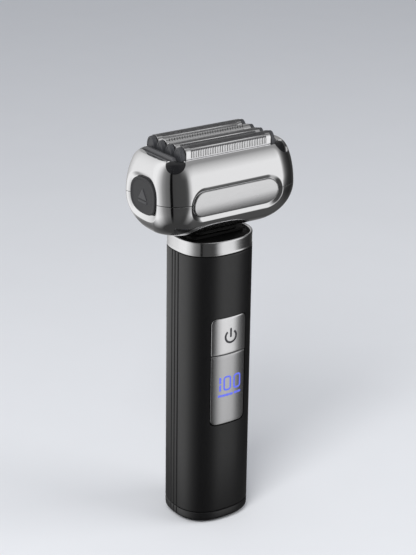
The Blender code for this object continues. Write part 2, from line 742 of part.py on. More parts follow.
def make_carrier(frame_joint):
    """The dark frame inside the chrome one, which the four rows float in."""
    low, high = 138.6 * MM, 140.4 * MM
    outlines = [rounded(24.5 * MM, 13.0 * MM, 4 * MM), rounded(19.0 * MM, 11.1 * MM, 1 * MM)]
    carrier = plate("cassette_carrier", outlines, low, high)
    for side, word in ((-1, "left"), (1, "right")):
        near, far = sorted((side * 21.3 * MM, side * 22.9 * MM))
        block = box(f"carrier_end_{word}", (near, -9.2 * MM, high - 0.5 * MM), (far, 9.2 * MM, 149.2 * MM))
        boolean(carrier, block, "UNION")
    piece(carrier, BLACK, frame_joint)


def make_row(name, y, kind, float_joint, cutter_joint):
    """One shaving row: its holder and sheet, which float together, and its moving blade."""
    foil = kind == "foil"
    half = FOIL_HALF if foil else TRIMMER_HALF
    shoulder = FOIL_SHOULDER if foil else TRIMMER_SHOULDER
    top = FOIL_TOP if foil else TRIMMER_TOP
    rail_low, rail_high = 142.2 * MM, 144.0 * MM
    hump = half + 0.1 * MM
    outline = arch(y, hump, rail_low, shoulder, top - 0.1 * MM)
    holder = plate(f"{name}_holder", [outline], -HOLDER_OUTER, HOLDER_OUTER, "X")
    inner = plate(f"{name}_room", [rounded(hump + 1 * MM, 8 * MM, 0.1 * MM, (y, rail_high + 8 * MM), 1)],
                  -HOLDER_INNER, HOLDER_INNER, "X")
    boolean(holder, inner)
    room = half - 0.45 * MM
    well = box(f"{name}_well", (-HOLDER_INNER, y - room, 140 * MM), (HOLDER_INNER, y + room, 146 * MM))
    boolean(holder, well)
    piece(holder, GREY, float_joint)

    leg = rail_high + GAP
    sheet = arch_sheet(y, half, leg, shoulder, top, SHEET)
    piece(plate(name, [sheet], -FOIL_LENGTH, FOIL_LENGTH, "X"), STEEL, float_joint)

    blade_half = half - SHEET - 0.25 * MM
    base = 143.5 * MM
    outline = arch(y, blade_half, base, shoulder, top - SHEET - 0.35 * MM, 8)
    blade = plate(f"{name}_blade", [outline], -CUTTER_HALF_LENGTH, CUTTER_HALF_LENGTH, "X")
    bm = bmesh.new()
    count = int(CUTTER_HALF_LENGTH / CUTTER_PITCH)
    for i in range(-count, count + 1):
        size = (CUTTER_PITCH / 2, 8 * MM, 6 * MM)
        middle = (i * CUTTER_PITCH, y, 150.5 * MM + 1.5 * MM)
        bmesh.ops.create_cube(bm, size=1, matrix=Matrix.Translation(middle) @ Matrix.Diagonal((*size, 1)))
    boolean(blade, add_mesh(f"{name}_slots", bm, smooth=False))
    piece(blade, STEEL, cutter_joint)

    spring = coil(f"{name}_spring", (0, y, 136.6 * MM), (0, 0, 1), 6.2 * MM, 1.35 * MM, 3, 0.25 * MM)
    piece(spring, STEEL, cutter_joint)


def make_rows(frame_joint, bridge_joint):
    rows = (
        ("front_foil", -FOIL_Y, "foil"),
        ("front_trimmer", -TRIMMER_Y, "trimmer"),
        ("rear_trimmer", TRIMMER_Y, "trimmer"),
        ("rear_foil", FOIL_Y, "foil"),
    )
    for name, y, kind in rows:
        float_joint = joint(f"{name}_float", (0, y, FOIL_TOP), frame_joint)
        cutter_joint = joint(f"{name}_blade_float", (0, y, FOIL_TOP), bridge_joint)
        make_row(name, y, kind, float_joint, cutter_joint)


clear_scene()
PARTS = new_collection("foil_shaver")
CUTTERS = new_collection("cutters")

make_base()
make_sleeve()
make_panel(joint("power_button_slide", (0, -HANDLE_Y, (PANEL_SEAM + PANEL_HIGH) / 2)))
make_power()
make_motor(joint("motor_axis", (0, 0, MOTOR_LOW)))
make_neck()

head_pivot = joint("head_pivot", (0, 0, TILT_AXIS))
frame_lift = joint("foil_frame_lift", (0, 0, SEAM), head_pivot)
bridge_slide = joint("drive_bridge_slide", (0, 0, EQUATOR), head_pivot)
make_shells(head_pivot, frame_lift)
make_ovals(head_pivot)
make_release_buttons(head_pivot)
make_head_floor(head_pivot)
make_bridge(bridge_slide)
make_carrier(frame_lift)
make_rows(frame_lift, bridge_slide)
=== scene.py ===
"""Looks of the foil shaver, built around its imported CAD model.

Metres, +Z up. The display side faces -Y and the head's long side runs along X. Pieces are fine meshes that
stand for CAD nodes. Inner nodes keep their CAD shape and take a procedural material.
"""

from math import copysign, cos, pi, radians, sin, tau

import bmesh
import bpy
import numpy as np
from mathutils import Matrix, Vector


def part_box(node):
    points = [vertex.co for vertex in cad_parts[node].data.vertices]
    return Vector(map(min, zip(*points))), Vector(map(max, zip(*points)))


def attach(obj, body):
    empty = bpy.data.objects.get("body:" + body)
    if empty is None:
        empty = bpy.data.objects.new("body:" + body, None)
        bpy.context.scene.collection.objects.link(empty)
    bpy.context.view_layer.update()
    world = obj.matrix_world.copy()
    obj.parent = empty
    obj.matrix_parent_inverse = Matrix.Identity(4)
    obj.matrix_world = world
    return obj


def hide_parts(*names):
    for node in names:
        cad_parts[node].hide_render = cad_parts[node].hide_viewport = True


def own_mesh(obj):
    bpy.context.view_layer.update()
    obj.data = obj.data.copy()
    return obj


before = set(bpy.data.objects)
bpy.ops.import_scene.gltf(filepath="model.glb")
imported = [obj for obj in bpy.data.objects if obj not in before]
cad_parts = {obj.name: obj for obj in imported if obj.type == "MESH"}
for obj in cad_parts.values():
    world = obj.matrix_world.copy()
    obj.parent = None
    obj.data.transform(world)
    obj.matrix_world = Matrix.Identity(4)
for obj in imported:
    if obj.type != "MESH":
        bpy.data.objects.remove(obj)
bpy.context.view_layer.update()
MM = 0.001

# ---- sizes

# Handle: a superellipse section with three flutes down each flank.
HANDLE_X, HANDLE_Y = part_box("collar_ring")[1].xy
HANDLE_POWER = 2.48
RING_COUNT = 720
FLUTES = (-2 * MM, 0, 2 * MM)
FLUTE_WIDTH = 0.75 * MM
FLUTE_DEPTH = 0.36 * MM

# Head: its section narrows from the equator to both ends, and the seam splits it in two shells.
EQUATOR = 133.4 * MM
SEAM = 134.3 * MM
SEAM_GAP = 0.18 * MM
SEAM_RIM = 0.06 * MM
SHELL_WALL = 1.4 * MM
HEAD_LOW = 119.6 * MM
HEAD_HIGH = 150.43 * MM
HEAD_X = 30.65 * MM
HEAD_Y = 17.55 * MM
HEAD_LOW_X = 21.7 * MM
HEAD_LOW_Y = 7.2 * MM
HEAD_HIGH_X = 22.8 * MM
HEAD_HIGH_Y = 10.9 * MM
HEAD_LOW_POWERS = (2.08, 1.72)
HEAD_HIGH_POWERS = (2.86, 1.77)
CORNER_X = 11.6 * MM
CORNER_Y = 9.3 * MM
CORNER_POWER = 1.85
CORNER_POWER_TOP = 3.0
MOST_CORNER = 0.95
HEAD_ARC = 20
HEAD_SIDE_X = 24
HEAD_SIDE_Y = 8
SHELL_RINGS = 30
FRAME_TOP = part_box("upper_frame")[1].z
WINDOW_X = 24.0 * MM
WINDOW_Y = 11.7 * MM
WINDOW_CORNER = 3.0 * MM
HOLE_X = 9.1 * MM
HOLE_Y = 5.6 * MM
HOLE_CORNER = 3 * MM

# The heights between which the head's outer surface is exact, and how near to it a point has to be.
EXACT_HEIGHTS = (HEAD_LOW + 0.05 * MM, FRAME_TOP - 0.02 * MM)
ON_SURFACE = 0.01 * MM

# The hollows at the frame's four upper corners, as (middle, radii) of ellipsoids.
NOTCHES = [((x * 24.2 * MM, y * 12.4 * MM, 150.6 * MM), (4.4 * MM, 3.6 * MM, 5.0 * MM))
           for x in (-1, 1) for y in (-1, 1)]

OVAL_HALF_X = 18.9 * MM
OVAL_HALF_Z = 5.1 * MM
OVAL_GAP = 0.06 * MM
RELEASE_Z = 134.9 * MM
RELEASE_Y = 8.0 * MM
RELEASE_RISE = 6.95 * MM
RELEASE_POWER = 2.6
RELEASE_GAP = 0.14
ARROW_HALF = 2.75 * MM
ARROW_RISE = 4.1 * MM
ARROW_CORNER = 0.3 * MM

# Handle panel: the power key above its seam and the display below it.
PANEL_HALF = 7.9 * MM
PANEL_LOW = 42.0 * MM
PANEL_HIGH = 86.0 * MM
PANEL_SEAM = 70.9 * MM
PANEL_GAP = 0.18 * MM
KEY_CORNER = 2.2 * MM
DISPLAY_CORNER = 2.4 * MM
TIGHT_CORNER = 0.35 * MM
ICON_MIDDLE = (0.3 * MM, 78.1 * MM)

# Rows: the lattice cell of a perforated sheet, and the cells left plain at each end.
ROWS = ("front_foil", "front_trimmer", "rear_trimmer", "rear_foil")
ROW_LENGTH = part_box("front_foil")[1].x
CELL = 0.375 * MM
PATH_STEP = 0.3 * MM
PLAIN_END = 6
SHEET_THICK = 0.1 * MM
SPRING_TURNS = 3.5
SPRING_WIRE = 0.22 * MM

# The window's lip, as (drop, extra half-length, extra half-depth, extra corner) in mm.
WINDOW_LIP = ((0, 0.7, 0.06, 0.6), (0.15, 0.25, 0.02, 0.2), (0.5, 0, 0, 0), (1.3, 0, 0, 0))

# Profiles are (inset, height) steps in mm from a surface, or (inset, height, flute share) round the handle.
CHAMFER = ((0.0, -2.5), (0.0, -1.2), (0.12, -1.16), (0.45, -0.98), (0.85, -0.73), (1.25, -0.47),
           (1.6, -0.24), (1.85, -0.1), (2.05, -0.02), (2.2, 0.02), (2.5, 0.35))
OVAL_RECESS = ((-0.1, -2.6), (-0.1, -0.84), (-0.2, -0.8), (-0.5, -0.62), (-0.85, -0.42), (-1.15, -0.24),
               (-1.4, -0.1), (-1.6, -0.02), (-1.75, 0.02), (-2.1, 0.4))
OVAL_FACE = ((0.0, -1.7), (0.0, -0.95), (0.03, -0.75), (0.12, -0.6), (0.28, -0.52), (0.45, -0.5),
             (0.9, -0.49))
RELEASE_FACE = ((0.0, -3.0), (0.0, -1.0), (0.02, -0.72), (0.12, -0.58), (0.3, -0.52), (0.75, -0.54),
                (0.95, -0.7), (1.2, -0.8), (1.6, -0.8))
MARK_FACE = ((0.0, -1.0), (0.0, -0.68), (0.06, -0.6), (0.16, -0.56))
SLEEVE = ((0.35, 5.12, 0), (0.1, 5.2, 0.6), (0.0, 5.45, 1), (0, 30, 1), (0, 60, 1), (0, 90, 1),
          (0, 109.9, 1), (0, 110.5, 1), (0.06, 110.75, 0.8), (0.3, 110.88, 0.3), (1.6, 110.88, 0),
          (1.6, 60, 0), (1.6, 5.12, 0))
COLLAR = ((1.2, 111.08, 0), (0.35, 111.08, 0), (0.1, 111.14, 0), (0, 111.3, 0), (0, 111.55, 0),
          (0.06, 111.7, 0), (0.12, 111.85, 0), (0.1, 112.2, 0), (0.08, 115.4, 0), (0.02, 115.9, 0),
          (0.02, 116.2, 0), (0.12, 116.42, 0), (0.32, 116.5, 0), (0.75, 116.47, 0), (0.95, 116.2, 0),
          (1.0, 115.3, 0), (1.2, 114.5, 0))
BASE = ((1.4, 1.25, 0), (0.9, 1.2, 0), (0.5, 1.35, 0.3), (0.15, 1.8, 0.6), (0.0, 2.5, 1), (0.0, 4.2, 1),
        (0.05, 4.6, 1), (0.3, 4.82, 0.5), (0.6, 4.9, 0), (1.6, 4.9, 0))
DECK = ((1.25, 113.4), (1.12, 115.0), (1.18, 115.45), (1.6, 115.62), (4, 115.66), (8, 115.7))
KEY_FACE = ((0.0, -1.5), (0.0, -0.35), (0.05, -0.1), (0.18, 0.06), (0.38, 0.14), (0.6, 0.16))
DISPLAY_FACE = ((0.0, -1.5), (0.0, -0.5), (0.05, -0.25), (0.18, -0.09), (0.38, -0.01), (0.6, 0.01))
ICON_FACE = ((0.0, 0.05), (0.0, 0.17), (0.05, 0.19))
LIGHT_FACE = ((0.0, -0.1), (0.0, 0.015), (0.05, 0.03))
LIGHT_INSIDE = ((0.68, 0.03), (0.73, 0.015), (0.73, -0.1))

# The lit bars of the display, as (middle X, middle Z, half-width, half-height) in mm, and its two zeros' X.
LIGHT_BARS = ((-4.0, 60.5, 0.42, 1.3), (-4.0, 57.4, 0.42, 1.3), (-4.1, 54.1, 0.8, 0.48),
              (-2.4, 54.1, 0.8, 0.48), (-0.7, 54.1, 0.8, 0.48), (1.0, 54.1, 0.8, 0.48),
              (3.1, 54.2, 0.8, 0.48), (4.8, 54.2, 0.8, 0.48))
LIGHT_ZEROS = (-0.85, 3.75)

# Camera: it looks at a target from in front and to the left, a little above, and is rolled slightly.
CAMERA_AZIMUTH = -35.419
CAMERA_ELEVATION = 21.405
CAMERA_ROLL = 0.834
CAMERA_DISTANCE = 642.35 * MM
CAMERA_TARGET = (-0.3212 * MM, 0.2308 * MM, 97.0872 * MM)
CAMERA_LENS = 110.37
SENSOR_WIDTH = 36

# Light, in metres: the point that the lamps face, and the light tent.

LIGHT_TARGET = (0, 0, 0.1)
TENT_RADIUS = 0.42
TENT_MIDDLE = Vector((0, 0, 0.13))

# ---- sums


def mix(a, b, share):
    return a + (b - a) * share


def ramp(value, start, end):
    """0 up to start, 1 from end, and even between them."""
    return min(1.0, max(0.0, (value - start) / (end - start)))


def levels(low, high, count):
    return [mix(low, high, i / (count - 1)) for i in range(count)]


def eased(start, end):
    """Heights that lie closer together near the start."""
    return [mix(start, end, 1 - cos(pi / 2 * i / SHELL_RINGS)) for i in range(SHELL_RINGS + 1)]


def swell(narrow, wide, t, power):
    """From wide at t = 0 to narrow at t = 1, along a superellipse."""
    return mix(narrow, wide, (1 - t**power) ** (1 / power))


def run_along(x, y):
    """The distance along a line of points to each of them."""
    return np.concatenate([[0], np.cumsum(np.hypot(np.diff(x), np.diff(y)))])


# ---- materials


def feed(tree, node, inputs):
    """Sets each input to a value, or links it to another node's output."""
    for name, value in inputs.items():
        if isinstance(value, bpy.types.NodeSocket):
            tree.links.new(value, node.inputs[name])
        else:
            node.inputs[name].default_value = value


def add_node(tree, kind, inputs):
    node = tree.nodes.new("ShaderNode" + kind)
    feed(tree, node, inputs)
    return node


def surface(name, colour, metallic, roughness, spread=0.05, scale=400, stretch=(1, 1, 1),
            bump=0.0, bump_scale=3000, tone=0.06, coat=0.0, emission=None, specular=0.5):
    """A Principled material whose roughness, tone and small relief vary with noise."""
    material = bpy.data.materials.new(name)
    material.use_nodes = True
    tree = material.node_tree
    shader = tree.nodes["Principled BSDF"]
    feed(tree, shader, {"Base Color": (*colour, 1), "Metallic": metallic, "Roughness": roughness,
                        "Coat Weight": coat, "Specular IOR Level": specular})
    place = add_node(tree, "TexCoord", {}).outputs["Object"]
    spacing = add_node(tree, "Mapping", {"Vector": place, "Scale": stretch}).outputs["Vector"]
    noise = add_node(tree, "TexNoise", {"Vector": spacing, "Scale": scale, "Detail": 4}).outputs["Fac"]
    rough = add_node(tree, "MapRange", {"Value": noise, "To Min": max(0.02, roughness - spread),
                                        "To Max": roughness + spread})
    tones = add_node(tree, "ValToRGB", {"Fac": noise})
    for element, factor in zip(tones.color_ramp.elements, (1 - tone, 1 + tone)):
        element.color = (*(min(1, channel * factor) for channel in colour), 1)
    feed(tree, shader, {"Roughness": rough.outputs["Result"], "Base Color": tones.outputs["Color"]})
    if bump:
        grain = add_node(tree, "TexNoise", {"Vector": spacing, "Scale": bump_scale}).outputs["Fac"]
        relief = add_node(tree, "Bump", {"Strength": 1, "Distance": bump, "Height": grain})
        feed(tree, shader, {"Normal": relief.outputs["Normal"]})
    if emission:
        feed(tree, shader, {"Emission Color": (*emission[0], 1), "Emission Strength": emission[1]})
    return material


LOOKS = {
    "chrome": surface("chrome_plate", (0.86, 0.86, 0.87), 1, 0.075, 0.02, 900, tone=0.01),
    "satin_oval": surface("satin_oval", (0.78, 0.78, 0.79), 1, 0.26, 0.03, 1500, (0.2, 1, 1), 2e-7, 9000),
    "collar": surface("brushed_collar", (0.83, 0.83, 0.84), 1, 0.16, 0.05, 900, (0.05, 0.05, 4), 4e-7, 2500),
    "soft_black": surface("soft_touch_black", (0.004, 0.004, 0.0045), 0, 0.38, 0.05, 700, bump=3e-6,
                          bump_scale=6000, specular=0.85),
    "satin_panel": surface("satin_panel", (0.64, 0.64, 0.65), 1, 0.25, 0.03, 1800, bump=3e-7,
                           bump_scale=7000),
    "satin_key": surface("satin_key", (0.86, 0.86, 0.87), 1, 0.2, 0.03, 1800, bump=3e-7, bump_scale=7000),
    "void_black": surface("void_black", (0.003, 0.003, 0.003), 0, 0.6, 0.06, bump=2e-6),
    "release_grey": surface("release_grey", (0.024, 0.024, 0.026), 0, 0.5, 0.06, bump=2e-6, bump_scale=5000),
    "icon": surface("icon_print", (0.035, 0.035, 0.04), 0, 0.45),
    "icon_release": surface("icon_release", (0.05, 0.05, 0.053), 0, 0.4),
    "gloss_black": surface("gloss_black", (0.010, 0.010, 0.011), 0, 0.22, 0.04),
    "inner_black": surface("inner_black", (0.014, 0.014, 0.015), 0, 0.45, 0.08, bump=2e-6),
    # Lighter grey than the gloss black carrier: painted light on the carrier's top ledge.
    "ledge": surface("ledge_painted_light", (0.10, 0.10, 0.105), 0.3, 0.3, 0.05),
    "end_grey": surface("row_end_grey", (0.045, 0.046, 0.05), 0.0, 0.3, 0.06),
    "inner_grey": surface("inner_grey", (0.16, 0.16, 0.17), 0, 0.5, 0.08, bump=3e-6),
    "foil": surface("foil_steel", (0.93, 0.93, 0.94), 1, 0.16, 0.05, 1500, tone=0.05),
    # A darker copy of the foil steel: painted shade for the perforated bands and crowns, which look dark
    # through their fine holes.
    "foil_shade": surface("foil_painted_shade", (0.34, 0.34, 0.35), 1, 0.34, 0.06, 1500, tone=0.1),
    "blade": surface("blade_steel", (0.6, 0.6, 0.62), 1, 0.3, 0.06, 1200, (1, 0.1, 1)),
    "turned": surface("turned_steel", (0.6, 0.6, 0.62), 1, 0.28, 0.06, 1500, (0.1, 0.1, 3)),
    "spring": surface("spring_wire", (0.62, 0.62, 0.64), 1, 0.18, 0.04),
    "rubber": surface("rubber", (0.016, 0.016, 0.017), 0, 0.7, 0.08, bump=6e-6),
    "board": surface("circuit_board", (0.02, 0.12, 0.05), 0, 0.35, 0.1, 1200, tone=0.3, bump=4e-6, coat=0.3),
    "battery": surface("battery_wrap", (0.03, 0.09, 0.33), 0.1, 0.32, 0.06, 500, coat=0.3),
    "nickel": surface("nickel_tab", (0.68, 0.64, 0.52), 1, 0.3, 0.06, 1500),
    "red": surface("lead_red", (0.42, 0.02, 0.02), 0, 0.5),
    "black": surface("lead_black", (0.015, 0.015, 0.015), 0, 0.5),
    "led": surface("display_glow", (0.06, 0.07, 0.3), 0, 0.4, emission=((0.12, 0.16, 0.9), 0.62)),
    "floor": surface("studio_floor", (0.80, 0.81, 0.83), 0, 0.8, 0.05, 30, tone=0.01),
}

# ---- meshes


def bridge(bm, rings, closed=False):
    """Adds quads between rings of equal point counts, and gives the rings as vertices."""
    rows = [[bm.verts.new(point) for point in ring] for ring in rings]
    pairs = list(zip(rows, rows[1:]))
    if closed:
        pairs.append((rows[-1], rows[0]))
    for first, second in pairs:
        for i in range(len(first)):
            j = (i + 1) % len(first)
            bm.faces.new((first[i], first[j], second[j], second[i]))
    return rows


def skin(rings, closed=False, caps=(True, True)):
    """A mesh through rings of equal point counts. A closed skin joins its last ring to its first."""
    bm = bmesh.new()
    rows = bridge(bm, rings, closed)
    if not closed and caps[0]:
        bm.faces.new(rows[0][::-1])
    if not closed and caps[1]:
        bm.faces.new(rows[-1])
    bmesh.ops.recalc_face_normals(bm, faces=bm.faces[:])
    return bm


def add(name, data):
    """A new object of the scene."""
    obj = bpy.data.objects.new(name, data)
    bpy.context.scene.collection.objects.link(obj)
    return obj


def smooth(obj, sharp):
    """Shades an object smooth and keeps edges sharper than an angle in degrees."""
    obj.data.shade_smooth()
    obj.data.set_sharp_from_angle(angle=radians(sharp))


def make(name, bm, look, sharp=35):
    """A smooth object of a bmesh."""
    mesh = bpy.data.meshes.new(name)
    bm.to_mesh(mesh)
    bm.free()
    obj = add(name, mesh)
    mesh.materials.append(LOOKS[look])
    smooth(obj, sharp)
    return obj


def settle(obj, body, nodes):
    """Rides a piece on its body and lets it stand for CAD nodes."""
    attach(obj, body)
    if nodes:
        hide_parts(*nodes)


def apply_modifiers(obj):
    graph = bpy.context.evaluated_depsgraph_get()
    mesh = bpy.data.meshes.new_from_object(obj.evaluated_get(graph))
    obj.modifiers.clear()
    old = obj.data
    obj.data = mesh
    bpy.data.meshes.remove(old)


def cut(obj, cutter, operation="DIFFERENCE"):
    modifier = obj.modifiers.new("cut", "BOOLEAN")
    modifier.operation = operation
    modifier.solver = "EXACT"
    modifier.object = cutter
    apply_modifiers(obj)


def discard(obj):
    mesh = obj.data
    bpy.data.objects.remove(obj)
    bpy.data.meshes.remove(mesh)


# ---- handle


def handle_normal(x, y):
    """The outward normal of the handle's section at a point of it."""
    nx = np.sign(x) * np.abs(x / HANDLE_X) ** (HANDLE_POWER - 1) / HANDLE_X
    ny = np.sign(y) * np.abs(y / HANDLE_Y) ** (HANDLE_POWER - 1) / HANDLE_Y
    size = np.hypot(nx, ny)
    return nx / size, ny / size


def handle_outline():
    """Points and outward normals of the handle's section, evenly spaced."""
    fine = np.linspace(0, tau, 20001)
    x = HANDLE_X * np.sign(np.cos(fine)) * np.abs(np.cos(fine)) ** (2 / HANDLE_POWER)
    y = HANDLE_Y * np.sign(np.sin(fine)) * np.abs(np.sin(fine)) ** (2 / HANDLE_POWER)
    run = run_along(x, y)
    at = np.linspace(0, run[-1], RING_COUNT, endpoint=False)
    px = np.interp(at, run, x)
    py = np.interp(at, run, y)
    return np.stack([px, py], 1), np.stack(handle_normal(px, py), 1)


OUTLINE, OUTLINE_NORMALS = handle_outline()


def flute_relief():
    """How deep the three flutes of each flank are at each point of the section."""
    depth = np.zeros(len(OUTLINE))
    flank = np.abs(OUTLINE[:, 0]) > 0.8 * HANDLE_X
    for middle in FLUTES:
        across = np.abs(OUTLINE[:, 1] - middle) / (FLUTE_WIDTH / 2)
        depth += np.where(across < 1, (1 + np.cos(pi * across)) / 2, 0)
    return depth * flank * FLUTE_DEPTH


RELIEF = flute_relief()


def handle_ring(inset, height, flutes=0.0):
    """The handle's outline moved in by an inset, with a share of the flutes' full depth."""
    moved = OUTLINE - OUTLINE_NORMALS * (inset + flutes * RELIEF)[:, None]
    return [(x, y, height) for x, y in moved]


def sweep(name, profile, look, sharp=35):
    """A closed band round the handle from (inset mm, height mm, flute depth share) steps."""
    rings = [handle_ring(inset * MM, height * MM, share) for inset, height, share in profile]
    return make(name, skin(rings, closed=True), look, sharp)


def on_handle(u, v, out):
    """The point at X = u and Z = v that stands out from the handle's front."""
    y = -HANDLE_Y * (1 - abs(u / HANDLE_X) ** HANDLE_POWER) ** (1 / HANDLE_POWER)
    nx, ny = handle_normal(u, y)
    return (u + nx * out, y + ny * out, v)


# ---- plates that follow a surface


def rounded_ring(half_u, half_v, corners, arc=10, side_u=12, side_v=8):
    """A rounded rectangle round (0, 0), anticlockwise, with points along its sides.

    corners are the radii of the upper right, upper left, lower left and lower right corners.
    """

    def at(k, angle):
        sign_u, sign_v = ((1, 1), (-1, 1), (-1, -1), (1, -1))[k % 4]
        radius = corners[k % 4]
        return (sign_u * (half_u - radius) + radius * cos(angle),
                sign_v * (half_v - radius) + radius * sin(angle))

    points = []
    for k in range(4):
        points += [at(k, pi / 2 * (k + i / arc)) for i in range(arc + 1)]
        start, end = points[-1], at(k + 1, pi / 2 * (k + 1))
        steps = side_v if k % 2 else side_u
        for i in range(1, steps):
            points.append((mix(start[0], end[0], i / steps), mix(start[1], end[1], i / steps)))
    return points


def ring_inset(half_u, half_v, corners, centre, **steps):
    """A function that gives a rounded rectangle round a centre, moved in by an inset."""
    least_radius = 0.02 * MM

    def outline(inset):
        radii = [max(radius - inset, least_radius) for radius in corners]
        ring = rounded_ring(half_u - inset, half_v - inset, radii, **steps)
        return [(centre[0] + u, centre[1] + v) for u, v in ring]

    return outline


def mapped(place, outline, profile):
    """Rings of an outline at the steps of a profile, put on a surface by place."""
    return [[place(u, v, height * MM) for u, v in outline(inset * MM)] for inset, height in profile]


def domed_plate(name, place, centre, outline, profile, look, fills):
    """A plate whose face is filled with shrinking rings, so that it follows the surface it is put on."""
    rings = mapped(place, outline, profile)
    inset, height = profile[-1]
    last = outline(inset * MM)
    for k in range(1, fills + 1):
        share = 1 - k / (fills + 0.02)
        ring = [(centre[0] + (u - centre[0]) * share, centre[1] + (v - centre[1]) * share) for u, v in last]
        rings.append([place(u, v, height * MM) for u, v in ring])
    return make(name, skin(rings), look)


# ---- head surface


def head_section(height):
    """Half-length, half-depth, corner sizes and corner power of the head's section at a height."""
    if height < EQUATOR:
        t = min(1.0, (EQUATOR - height) / (EQUATOR - HEAD_LOW))
        x = swell(HEAD_LOW_X, HEAD_X, t, HEAD_LOW_POWERS[0])
        y = swell(HEAD_LOW_Y, HEAD_Y, t, HEAD_LOW_POWERS[1])
        power = CORNER_POWER
    else:
        t = min(1.0, (height - EQUATOR) / (HEAD_HIGH - EQUATOR))
        x = swell(HEAD_HIGH_X, HEAD_X, t, HEAD_HIGH_POWERS[0])
        y = swell(HEAD_HIGH_Y, HEAD_Y, t, HEAD_HIGH_POWERS[1])
        power = CORNER_POWER + (CORNER_POWER_TOP - CORNER_POWER) * t**6
    return x, y, CORNER_X * x / HEAD_X, min(CORNER_Y, MOST_CORNER * y), power


def head_ring(height, inset=0.0, least=(0.0, 0.0)):
    """The head's outline at a height, moved in by an inset, with points along its flats."""
    half_x, half_y, corner_x, corner_y, power = head_section(height)
    half_x = max(half_x - inset, least[0])
    half_y = max(half_y - inset, least[1])
    corner_y = min(corner_y, MOST_CORNER * half_y)
    quarter = []
    for angle in levels(0, pi / 2, HEAD_ARC + 1):
        x = half_x - corner_x + corner_x * max(cos(angle), 0) ** (2 / power)
        y = half_y - corner_y + corner_y * max(sin(angle), 0) ** (2 / power)
        quarter.append((x, y))
    flat_x = half_x - corner_x
    flat_y = half_y - corner_y
    top = [(flat_x * (1 - 2 * i / HEAD_SIDE_X), half_y) for i in range(1, HEAD_SIDE_X)]
    side = [(half_x, flat_y * (1 - 2 * i / HEAD_SIDE_Y)) for i in range(1, HEAD_SIDE_Y)]
    half = quarter + top + [(-x, y) for x, y in quarter[::-1] + side]
    return [(x, y, height) for x, y in half] + [(-x, -y, height) for x, y in half]


def plain_ring(height, half_x, half_y, corner):
    """A level rounded rectangle with as many points as a head ring."""
    points = rounded_ring(half_x, half_y, (corner,) * 4, HEAD_ARC, HEAD_SIDE_X, HEAD_SIDE_Y)
    return [(x, y, height) for x, y in points]


def head_value(x, y, z):
    """Zero on the head's outer surface and positive outside it."""
    half_x, half_y, corner_x, corner_y, power = head_section(z)
    u = (abs(x) - half_x + corner_x) / corner_x
    v = (abs(y) - half_y + corner_y) / corner_y
    if min(u, v) <= 0:
        return max(u, v) - 1
    return (u**power + v**power) ** (1 / power) - 1


def head_normal(x, y, z):
    """The outward normal of the head's surface nearest a point."""
    step = 1e-5
    gradient = Vector((
        head_value(x + step, y, z) - head_value(x - step, y, z),
        head_value(x, y + step, z) - head_value(x, y - step, z),
        head_value(x, y, z + step) - head_value(x, y, z - step),
    ))
    return gradient.normalized()


def reach(along, half, corner, other_half, other_corner, power):
    """How far the head's section reaches across at a distance along it."""
    past = (abs(along) - other_half + other_corner) / other_corner
    if past <= 0:
        return half
    return half - corner + corner * max(0, 1 - min(past, 1) ** power) ** (1 / power)


def lifted(x, y, z, out):
    """The point that stands out from a point of the head's surface."""
    return Vector((x, y, z)) + head_normal(x, y, z) * out


def on_head_face(side):
    """A place function for the head's front (side -1) or rear (side 1): u along X, v up."""

    def place(u, v, out):
        half_x, half_y, corner_x, corner_y, power = head_section(v)
        depth = reach(u, half_y, corner_y, half_x, corner_x, power)
        return lifted(-side * u, side * depth, v, out)

    return place


def on_head_end(side):
    """A place function for the head's left (side -1) or right (side 1) end: u along Y, v up."""

    def place(u, v, out):
        half_x, half_y, corner_x, corner_y, power = head_section(v)
        length = reach(u, half_x, corner_x, half_y, corner_y, power)
        return lifted(side * length, side * u, v, out)

    return place


def true_normals(obj):
    """Sets exact normals where the mesh lies on the head's outer surface, so that reflections run clean."""
    mesh = obj.data
    normals = [Vector(corner.vector) for corner in mesh.corner_normals]
    low, high = EXACT_HEIGHTS
    exact = {}
    for face in mesh.polygons:
        corners = [mesh.vertices[i].co for i in face.vertices]
        if any(abs(head_value(*co)) * HEAD_Y > ON_SURFACE or not low <= co.z <= high for co in corners):
            continue
        for loop, index in zip(face.loop_indices, face.vertices):
            if index not in exact:
                exact[index] = head_normal(*mesh.vertices[index].co)
            if exact[index].dot(face.normal) > 0.9:
                normals[loop] = exact[index]
    mesh.normals_split_custom_set(normals)


def ellipsoid(name, middle, radii):
    bm = bmesh.new()
    bmesh.ops.create_uvsphere(bm, u_segments=48, v_segments=32, radius=1)
    for vertex in bm.verts:
        vertex.co = Vector([middle[k] + vertex.co[k] * radii[k] for k in range(3)])
    return make(name, bm, "chrome")


def make_corner_inserts():
    """Glossy black corners of the inner frame, seen through the notches of the chrome frame."""
    low, high, top = 144.0 * MM, 149.0 * MM, 149.3 * MM
    play = 0.03 * MM
    outside = [head_ring(z, 0.45 * MM) for z in levels(low, high, 9)]
    outside.append(head_ring(top, 0.8 * MM))
    inside = [plain_ring(z, WINDOW_X - 1.2 * MM, WINDOW_Y - 0.9 * MM, WINDOW_CORNER) for z in (top, low)]
    for k, (middle, radii) in enumerate(NOTCHES):
        insert = make(f"corner_insert_{k}", skin(outside + inside, closed=True), "gloss_black")
        bound = ellipsoid("bound", middle, [radius - play for radius in radii])
        cut(insert, bound, "INTERSECT")
        discard(bound)
        smooth(insert, 35)
        settle(insert, "foil_frame", [])


def flared_cutter(name, place, outline, profile, way):
    """A cutter whose wall follows the head's surface, and which then runs straight out past it."""
    rings = mapped(place, outline, profile)
    rings.append([point + Vector(way) * 8 * MM for point in rings[-1]])
    return make(name, skin(rings), "chrome")


